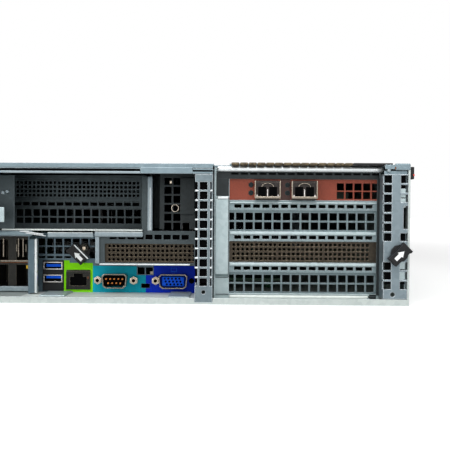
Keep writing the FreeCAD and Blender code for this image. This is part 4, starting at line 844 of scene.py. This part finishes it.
# %% Cage head
PITCH = 5.94
HOLES_X = 112.6
blocks("cage_flange", HIGHLIGHT_ZINC, ((103.6, 208.4), (CAGE - 3.2, CAGE + 0.5), (82.7, 86.0), 1.1))
blocks("cage_shade", DIMMER, ((103.2, 206.4), (CAGE - 0.35, CAGE), (78.25, 82.9)),
       ((103.2, 111.2), (CAGE - 0.35, CAGE), (67.4, 78.3)))
slots = [HOLES_X + i * PITCH for i in range(16)]
blocks("cage_dashes", SHADE_BLACK, *[((x, x + 4.6), (CAGE - 0.5, CAGE - 0.2), (80.9, 82.1)) for x in slots],
       slot="black_plastic")
report()

# %% [markdown]
# ## Gasket of the cover
# Fingers of woven metal over foam reach from the cover's edge over the cage, so that no radio noise
# leaks out there, and a plain black strip ends the row. Foam is soft, so each finger has well
# rounded edges. They belong to the cover and lift off with it.

# %% Gasket
GASKET_Y = (REAR + 2.5, CAGE + 4)
GASKET_Z = (86.35, 87.95)
fingers = [HOLES_X + i * 5.4 for i in range(14)]
blocks("gasket_fingers", FOAM, *[((x, x + 5.1), GASKET_Y, GASKET_Z, 0.7) for x in fingers], body="cover")
blocks("gasket_end", BLACK, ((188.1, 212.4), GASKET_Y, GASKET_Z, 0.4), slot="black_plastic", body="cover")
report()

# %% [markdown]
# ## Right corner of the cover
# The cover's corner is folded down in front of the post's head, and a small coppery line on the
# fold's end is a painted glint. A black clip sits on the side wall with a red mark. The screws are
# short rods with a narrower end, since their drive can't be seen from here.

# %% Corner, clip and screws
blocks("cover_corner", COVER, ((213.2, 222.4), (REAR - 0.4, REAR + 2), (83.4, 87.6), 0.5), body="cover")
blocks("post_head", COVER, ((206.8, 221.0), (REAR + 1.2, REAR + 3), (80.4, 83.2), 0.3))
blocks("corner_glint", COPPER, ((212.9, 213.6), (REAR - 0.6, REAR - 0.2), (83.9, 85.6), 0.15), body="cover")
blocks("side_clip", BLACK, ((222.3, 224.9), (REAR + 0.2, REAR + 5), (78.0, 85.6), 0.5), slot="black_plastic")
blocks("clip_mark", RED_DOT, ((224.1, 225.0), (REAR - 0.1, REAR + 0.4), (79.9, 81.1), 0.2),
       slot="black_plastic")
pins("cage_screws", GALVANISED, (209.4, 83.2, (REAR - 0.2, REAR + 1), 1.3, 20, 0.9),
     (199.6, 2.4, (CAGE - 2.2, CAGE), 1.3, 16, 0.9))
report()

# %% [markdown]
# ## Posts
# The posts' square holes wrap round both bends, so that each bend is a ladder of short bars that
# catch the light. The solid posts have the holes. Small blocks of the highlight zinc on the bends are
# painted glints, and an unlit black sheet behind each face paints the shade inside the machine.

# %% Post bars
SQUARE = 4.8
HOLES_TOP = 75.6
BEHIND = (REAR + 1.15, REAR + 1.4)
blocks("post_dark", SHADE_BLACK, ((90.6, 100.2), BEHIND, (13.4, 77)), ((207.6, 220.0), BEHIND, (13.4, 80)),
       slot="black_plastic")
bars = [HOLES_TOP - i * PITCH - SQUARE - (PITCH - SQUARE) / 2 for i in range(10)]
blocks("post_glints", HIGHLIGHT_ZINC, *[(x, (REAR - 0.15, REAR + 0.3), (z - 0.4, z + 0.4), 0.1)
                                     for z in bars for x in ((90.55, 92.6), (99.9, 101.25))])
blocks("post_inner", CAGE_SHEET, *[((216.4, 219.9), (REAR + 0.9, REAR + 1.12), z)
                                   for z in ((60.6, 66.2), (66.8, 72.2), (22.6, 27.4), (15.4, 21.2))])
report()

# %% [markdown]
# ## Pressed pad of the right cage
# A raised pad stiffens the left side of the cage. It catches light along its top lip and throws a
# thin shadow on its right. The lamps alone draw these lines too softly, so thin strips sharpen them.

# %% Cage pad
blocks("pad_lip", HIGHLIGHT_ZINC, ((104.0, 110.9), (CAGE - 2.4, CAGE - 1.8), (65.4, 67.0), 0.3))
blocks("pad_shadow", DIM, ((110.75, 111.35), (CAGE - 0.6, CAGE + 0.1), (16, 66.4)),
       ((103.0, 111.0), (CAGE - 2.3, CAGE - 1.8), (15.5, 16.1)),
       ((103.0, 111.5), (CAGE - 0.5, CAGE), (4.6, 5.1)))
report()

# %% [markdown]
# ## Ribs and strips between the slots
# Between the slots run ribs with a rolled upper edge over a strip with a row of short slots. Each
# strip is a thin plate with fifteen windows, laid on the cage, so that the slots have true edges, and
# its darker grey is painted shade on the cage steel. A foot with painted light, a small bracket in
# painted deep shade and the side in painted shadow close the cage below and on the right.

# %% Cage ribs
blocks("slot_ribs", CAGE_SHEET, *[((111.8, 204.6), (CAGE - 1.1, CAGE), z, 0.4)
                                  for z in ((62.8, 63.7), (42.9, 44.8), (23.1, 25.0))])
for index, low in enumerate((19.0, 38.75, 58.5)):
    starts = [114.7 + i * PITCH for i in range(15)]
    dashes = [((x, x + 4.4), (low + 1.4, low + 3.7)) for x in starts]
    plate(f"shaded_strip_{index + 1}", (111.5, 205.05), (low + 0.05, low + 6.3), CAGE - 0.12, 0.1, dashes, STRIP_SHADE)
blocks("cage_foot", LIT_SHEET, ((111.6, 200), (CAGE - 1.6, CAGE), (2.1, 4.7), 1.0))
blocks("foot_bracket", DIMMER, ((197.4, 204.8), (CAGE - 1.2, CAGE), (1.3, 4.3), 0.4))
blocks("cage_side_shade", DIMMER, ((204.95, 206.95), (CAGE - 0.4, CAGE), (4.8, 79)),
       ((200.6, 205.0), (CAGE - 0.1, CAGE), (1.9, 5.4)))
report()

# %% [markdown]
# ## Bail arches
# A wire bail pulls each transceiver out. Its arch over the mouths is a half ring of round wire: a
# small circle spun through half a turn, then flattened a little, as the real wire is bent. It rides
# on the bail, which swings, and not on the casting.

# %% Bail arch
WIRE, ARCH = 0.24, 3.6
ARCH_Z = 73.3


def bail_arch(index, middle, front):
    """The arch of one bail, over the mouths of its transceiver."""
    bm = bmesh.new()
    ring = bmesh.ops.create_circle(bm, segments=8, radius=WIRE * MM)
    bmesh.ops.translate(bm, verts=ring["verts"], vec=(ARCH * MM, 0, 0))
    bmesh.ops.spin(bm, geom=bm.verts[:] + bm.edges[:], cent=(0, 0, 0), axis=(0, 1, 0),
                   angle=-math.pi, steps=16, use_merge=False)
    spot = Matrix.Translation(Vector((middle, front - 0.9, ARCH_Z)) * MM)
    bmesh.ops.transform(bm, verts=bm.verts, matrix=spot @ Matrix.Diagonal((1, 1, 0.6, 1)))
    done(f"bail_arch_{index}", bm, PORT_METAL, f"bail_{index}")


print("arch radius:", ARCH, "mm")

# %% [markdown]
# ## Optical transceivers
# Each transceiver is a small zinc casting with two fibre mouths side by side and a thin rim. The
# mouths could be hollowed out, but the casting slides out as a whole, so their shade is painted by
# unlit black plates on its face, which ride with it and stay in place. A bright sliver marks the web,
# and the slivers on the corners are painted glints.

# %% Transceiver faces
for index in (1, 2):
    low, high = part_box(f"transceiver_{index}")
    left, right, front = low[0] / MM, high[0] / MM, low[1] / MM
    middle = (left + right) / 2
    casting = {"body": f"transceiver_{index}"}
    plate(f"optic_rim_{index}", (left + 0.3, right - 0.3), (65.3, 76.2), front - 0.3, 0.3,
          [((left + 0.62, right - 0.62), (65.65, 75.85))], CAGE_METAL, **casting)
    blocks(f"optic_face_{index}", CAGE_METAL,
           ((left + 0.75, right - 0.75), (front - 0.14, front), (65.95, 75.85), 0.05), **casting)
    mouths = [middle + side * 3.45 for side in (-1, 1)]
    blocks(f"optic_mouths_{index}", SHADE_BLACK, *[((x - 2.55, x + 2.55), (front - 0.2, front - 0.1), (67.2, 73.2), 0.05)
                                            for x in mouths], slot="black_plastic", **casting)
    slivers = [((middle - 0.3, middle + 0.3), (front - 0.32, front - 0.1), (66.4, 71.6), 0.1)]
    for side in (-1, 1):
        near, far = middle + side * 1.2, middle + side * 6.6
        slivers.append(((near - 0.7, near + 0.7), (front - 0.4, front - 0.1), (66.4, 67.0), 0.1))
        slivers.append(((far - 0.4, far + 0.4), (front - 0.4, front - 0.1), (66.5, 68.2), 0.15))
    blocks(f"optic_bright_{index}", SILVER, *slivers, **casting)
    bail_arch(index, middle, front)
report()

# %% [markdown]
# ## Card lamps
# Two pairs of unlit lamps sit left of the transceivers on the card's red bracket, and between the
# castings the bracket lies in shade, painted as a darker strip of the bracket's red. Each lamp is a
# short rod of smoked plastic in its hole.

# %% Card lamps
pins("card_lamps", SMOKED, *[(x, z, (BRACKET - 0.35, BRACKET + 0.7), 1.75, 24, 1.5)
                             for x in (125.2, 148.4) for z in (69.45, 74.55)], slot="black_plastic")
blocks("card_shade", BRACKET_SHADE, ((143.9, 150.5), (BRACKET - 0.1, BRACKET + 0.05), (64.95, 78.15)))
report()

# %% [markdown]
# ## Release bar over the ports
# Two folded grips and a lit shelf stand over the port wall, with the end of a long blue-grey lever
# on their left and a bent wire over it. They are folded sheet, and blocks with rounded edges give
# the same outline. The wire's parts lean by a few degrees, so they are turned blocks.

# %% Release bar
BAR = LOW - 0.5
blocks("release_grips", GALVANISED, ((-7.5, 22.6), (BAR - 1.6, BAR), (40.0, 43.2), 0.6),
       ((23.3, 55.3), (BAR - 1.6, BAR), (40.3, 43.9), 0.9))
blocks("release_shelf", LIT_SHEET, ((-7.3, 22.4), (BAR - 1.75, BAR - 1.4), (42.8, 43.2), 0.1),
       ((23.6, 54.6), (BAR - 1.75, BAR - 1.4), (43.4, 43.8), 0.1),
       ((-38, 54.6), (BAR - 0.6, BAR + 12), (44.2, 45.3), 0.4))
blocks("release_lever", COVER, ((-145, -17.4), (BAR - 1.4, BAR), (40.5, 44.0), 1.2))
lean = Matrix.Rotation(math.radians(8), 4, "Y")
blocks("release_wire", HIGHLIGHT_ZINC, ((-24.5, -10.0), (BAR - 2.2, BAR - 1.5), (42.4, 43.2), 0.2, lean),
       ((-21.6, -8.2), (BAR - 2.6, BAR - 1.9), (41.4, 41.9), 0.2, lean),
       ((-25.6, -19.6), (BAR - 2.4, BAR - 1.7), (43.3, 44.2), 0.2))
report()

# %% [markdown]
# ## Folded edges beside the ports
# The low cage and the port wall end in folds, which show as lines of another brightness; the bright
# lines are painted highlights in the highlight zinc. A fold this narrow would add faces to the solid
# without changing its outline, so narrow blocks stand for it.

# %% Folded edges
PORT_HIGH = (2.2, 38.6)
blocks("low_flange", GALVANISED, ((23.6, 26.4), (LOW - 1.2, LOW), (22.8, 40.6), 0.5))
blocks("low_bright", HIGHLIGHT_ZINC, ((26.4, 86), (LOW - 1.2, LOW), (21.9, 22.9), 0.3))
blocks("wall_fold", PORT_WALL, ((-22.0, -18.4), (PORTS - 0.6, PORTS + 2), PORT_HIGH, 0.5))
blocks("wall_bright", HIGHLIGHT_ZINC, ((-18.3, -16.5), (PORTS - 0.9, PORTS + 1.6), PORT_HIGH, 0.6))
report()

# %% [markdown]
# ## Column and ring behind the middle slots
# Between the middle cage and the middle post stands a column whose dark side is painted shade and
# whose bright folded edge is painted light with a painted glint, and right of it hang a plate in
# painted deep shade, a clip and a captive ring. The ring is a small circle spun once round, which
# closes on itself when its ends are merged.

# %% Middle column and ring
HUNG = (INNER - 2.2, INNER)
blocks("column_dark", DIM, ((54.0, 57.6), HUNG, (44.2, 80.4), 0.4))
blocks("column_light", GALVANISED, ((57.6, 61.0), (INNER - 2.6, INNER), (44.2, 80.2), 0.6))
blocks("column_glint", HIGHLIGHT_ZINC, ((59.2, 59.8), (INNER - 2.8, INNER - 2.4), (44.8, 73.0), 0.15))
blocks("dark_plate", DIMMER, ((79.1, 88.8), HUNG, (55.4, 79.6), 0.5))
bm = bmesh.new()
ring = bmesh.ops.create_circle(bm, segments=8, radius=0.3 * MM)
bmesh.ops.translate(bm, verts=ring["verts"], vec=(2.3 * MM, 0, 0))
bmesh.ops.spin(bm, geom=bm.verts[:] + bm.edges[:], cent=(0, 0, 0), axis=(0, 1, 0),
               angle=2 * math.pi, steps=28, use_merge=True)
bmesh.ops.translate(bm, verts=bm.verts, vec=Vector((75.7, INNER - 0.25, 59.5)) * MM)
block(bm, (72.2, 73.6), (INNER - 1.4, INNER), (75.6, 77.6), 0.3)
done("captive_ring", bm, BRASS)
report()

# %% [markdown]
# ## Column left of the slots
# A plain column beside the left cage holds two screws, with a light block in front of it. It hangs
# from the cross beam and stands on the lit shelf, so its ends reach a little into both.

# %% Left column
COLUMN_Y = (INNER - 3.4, INNER - 2.2)
blocks("left_column", DIM, ((-46.0, -29.6), COLUMN_Y, (45.2, 80.7), 0.4))
blocks("light_block", CAGE_SHEET, ((-50.0, -31.6), (LEFT - 1.4, LEFT), (49.8, 59.4), 0.5))
pins("column_screws", GALVANISED, *[(x, z, (COLUMN_Y[0] - 1.2, COLUMN_Y[0] + 0.1), 1.5, 20, 1.0)
                                    for x, z in ((-37.0, 68.9), (-34.2, 69.7))])
report()

# %% [markdown]
# ## Behind the small holes and on the floor
# Light that leaks round the fine mesh would show the boards behind it, so the shade there is painted
# by an unlit black sheet. In front of the ports the pan's floor is bright with painted light, with
# two low plates on it.

# %% Dark sheet and floor plates
blocks("mesh_dark", SHADE_BLACK, ((24.2, 90), (LOW + 2.2, LOW + 2.6), (22.2, 44.0)), slot="black_plastic")
blocks("floor_sheet", LIT_SHEET, ((-24, 90.2), (REAR + 1.6, WALL - 1.2), (1.25, 1.5)))
blocks("floor_plates", CAGE_SHEET, ((-12, 4.6), (REAR + 20, WALL - 3), (1.5, 2.5), 0.3),
       ((72, 86), (REAR + 16, WALL - 3), (1.5, 2.6), 0.3))
report()

# %% [markdown]
# ## Network module
# The module left of the port wall carries tall cages above and jacks below. The solid has the dark
# mouths. Bright spring fingers, a coppery edge, one yellow lamp and a folded foot lie on its face as
# small blocks.

# %% Network module
FACE = (MODULE - 0.6, MODULE - 0.1)
COPPER_FACE = (MODULE - 0.8, MODULE - 0.1)
springs = [((x - 0.35, x + 0.35), FACE, (25.4, 38.2), 0.12) for x in (-44.0, -33.6, -30.4)]
springs += [((x - 0.25, x + 0.25), FACE, (29.0, 34.0), 0.1) for x in (-34.8, -28.4)]
blocks("module_fingers", PORT_METAL, *springs, ((-46, -24.4), (MODULE - 0.9, MODULE - 0.1), (22.0, 23.2), 0.25))
blocks("module_lamp", AMBER, ((-28.4, -25.8), (MODULE - 0.7, MODULE - 0.1), (17.2, 19.6), 0.3),
       slot="port_metal")
blocks("module_copper", COPPER, ((-25.3, -24.6), COPPER_FACE, (5.2, 21.6), 0.2),
       ((-46, -25), COPPER_FACE, (21.2, 21.7), 0.15), slot="port_metal")
blocks("module_foot", GALVANISED, ((-46, -19.2), (MODULE - 3, MODULE - 0.4), (1.8, 5.4), 0.6))
report()

# %% [markdown]
# ## Port frames
# The jack sits in a dark frame with a stepped mouth, wider below where the plug's body goes and
# narrower above for its tab. Two windows that touch make the step. The sign on the blue field is a
# plain square outline.

# %% Port frames
plate("jack_frame", JACK_X, (3.2, 15.6), WALL - 1.05, 0.25,
      [((2.1, 13.6), (5.9, 12.0)), ((4.7, 11.0), (11.9, 14.3))], DARK_METAL, "port_metal")
plate("port_sign", (71.4, 75.6), (15.6, 18.6), WALL - FILM - 0.05, 0.05, [((71.9, 75.1), (16.2, 18.1))],
      PORT_BLUE, "blue_plastic")
report()
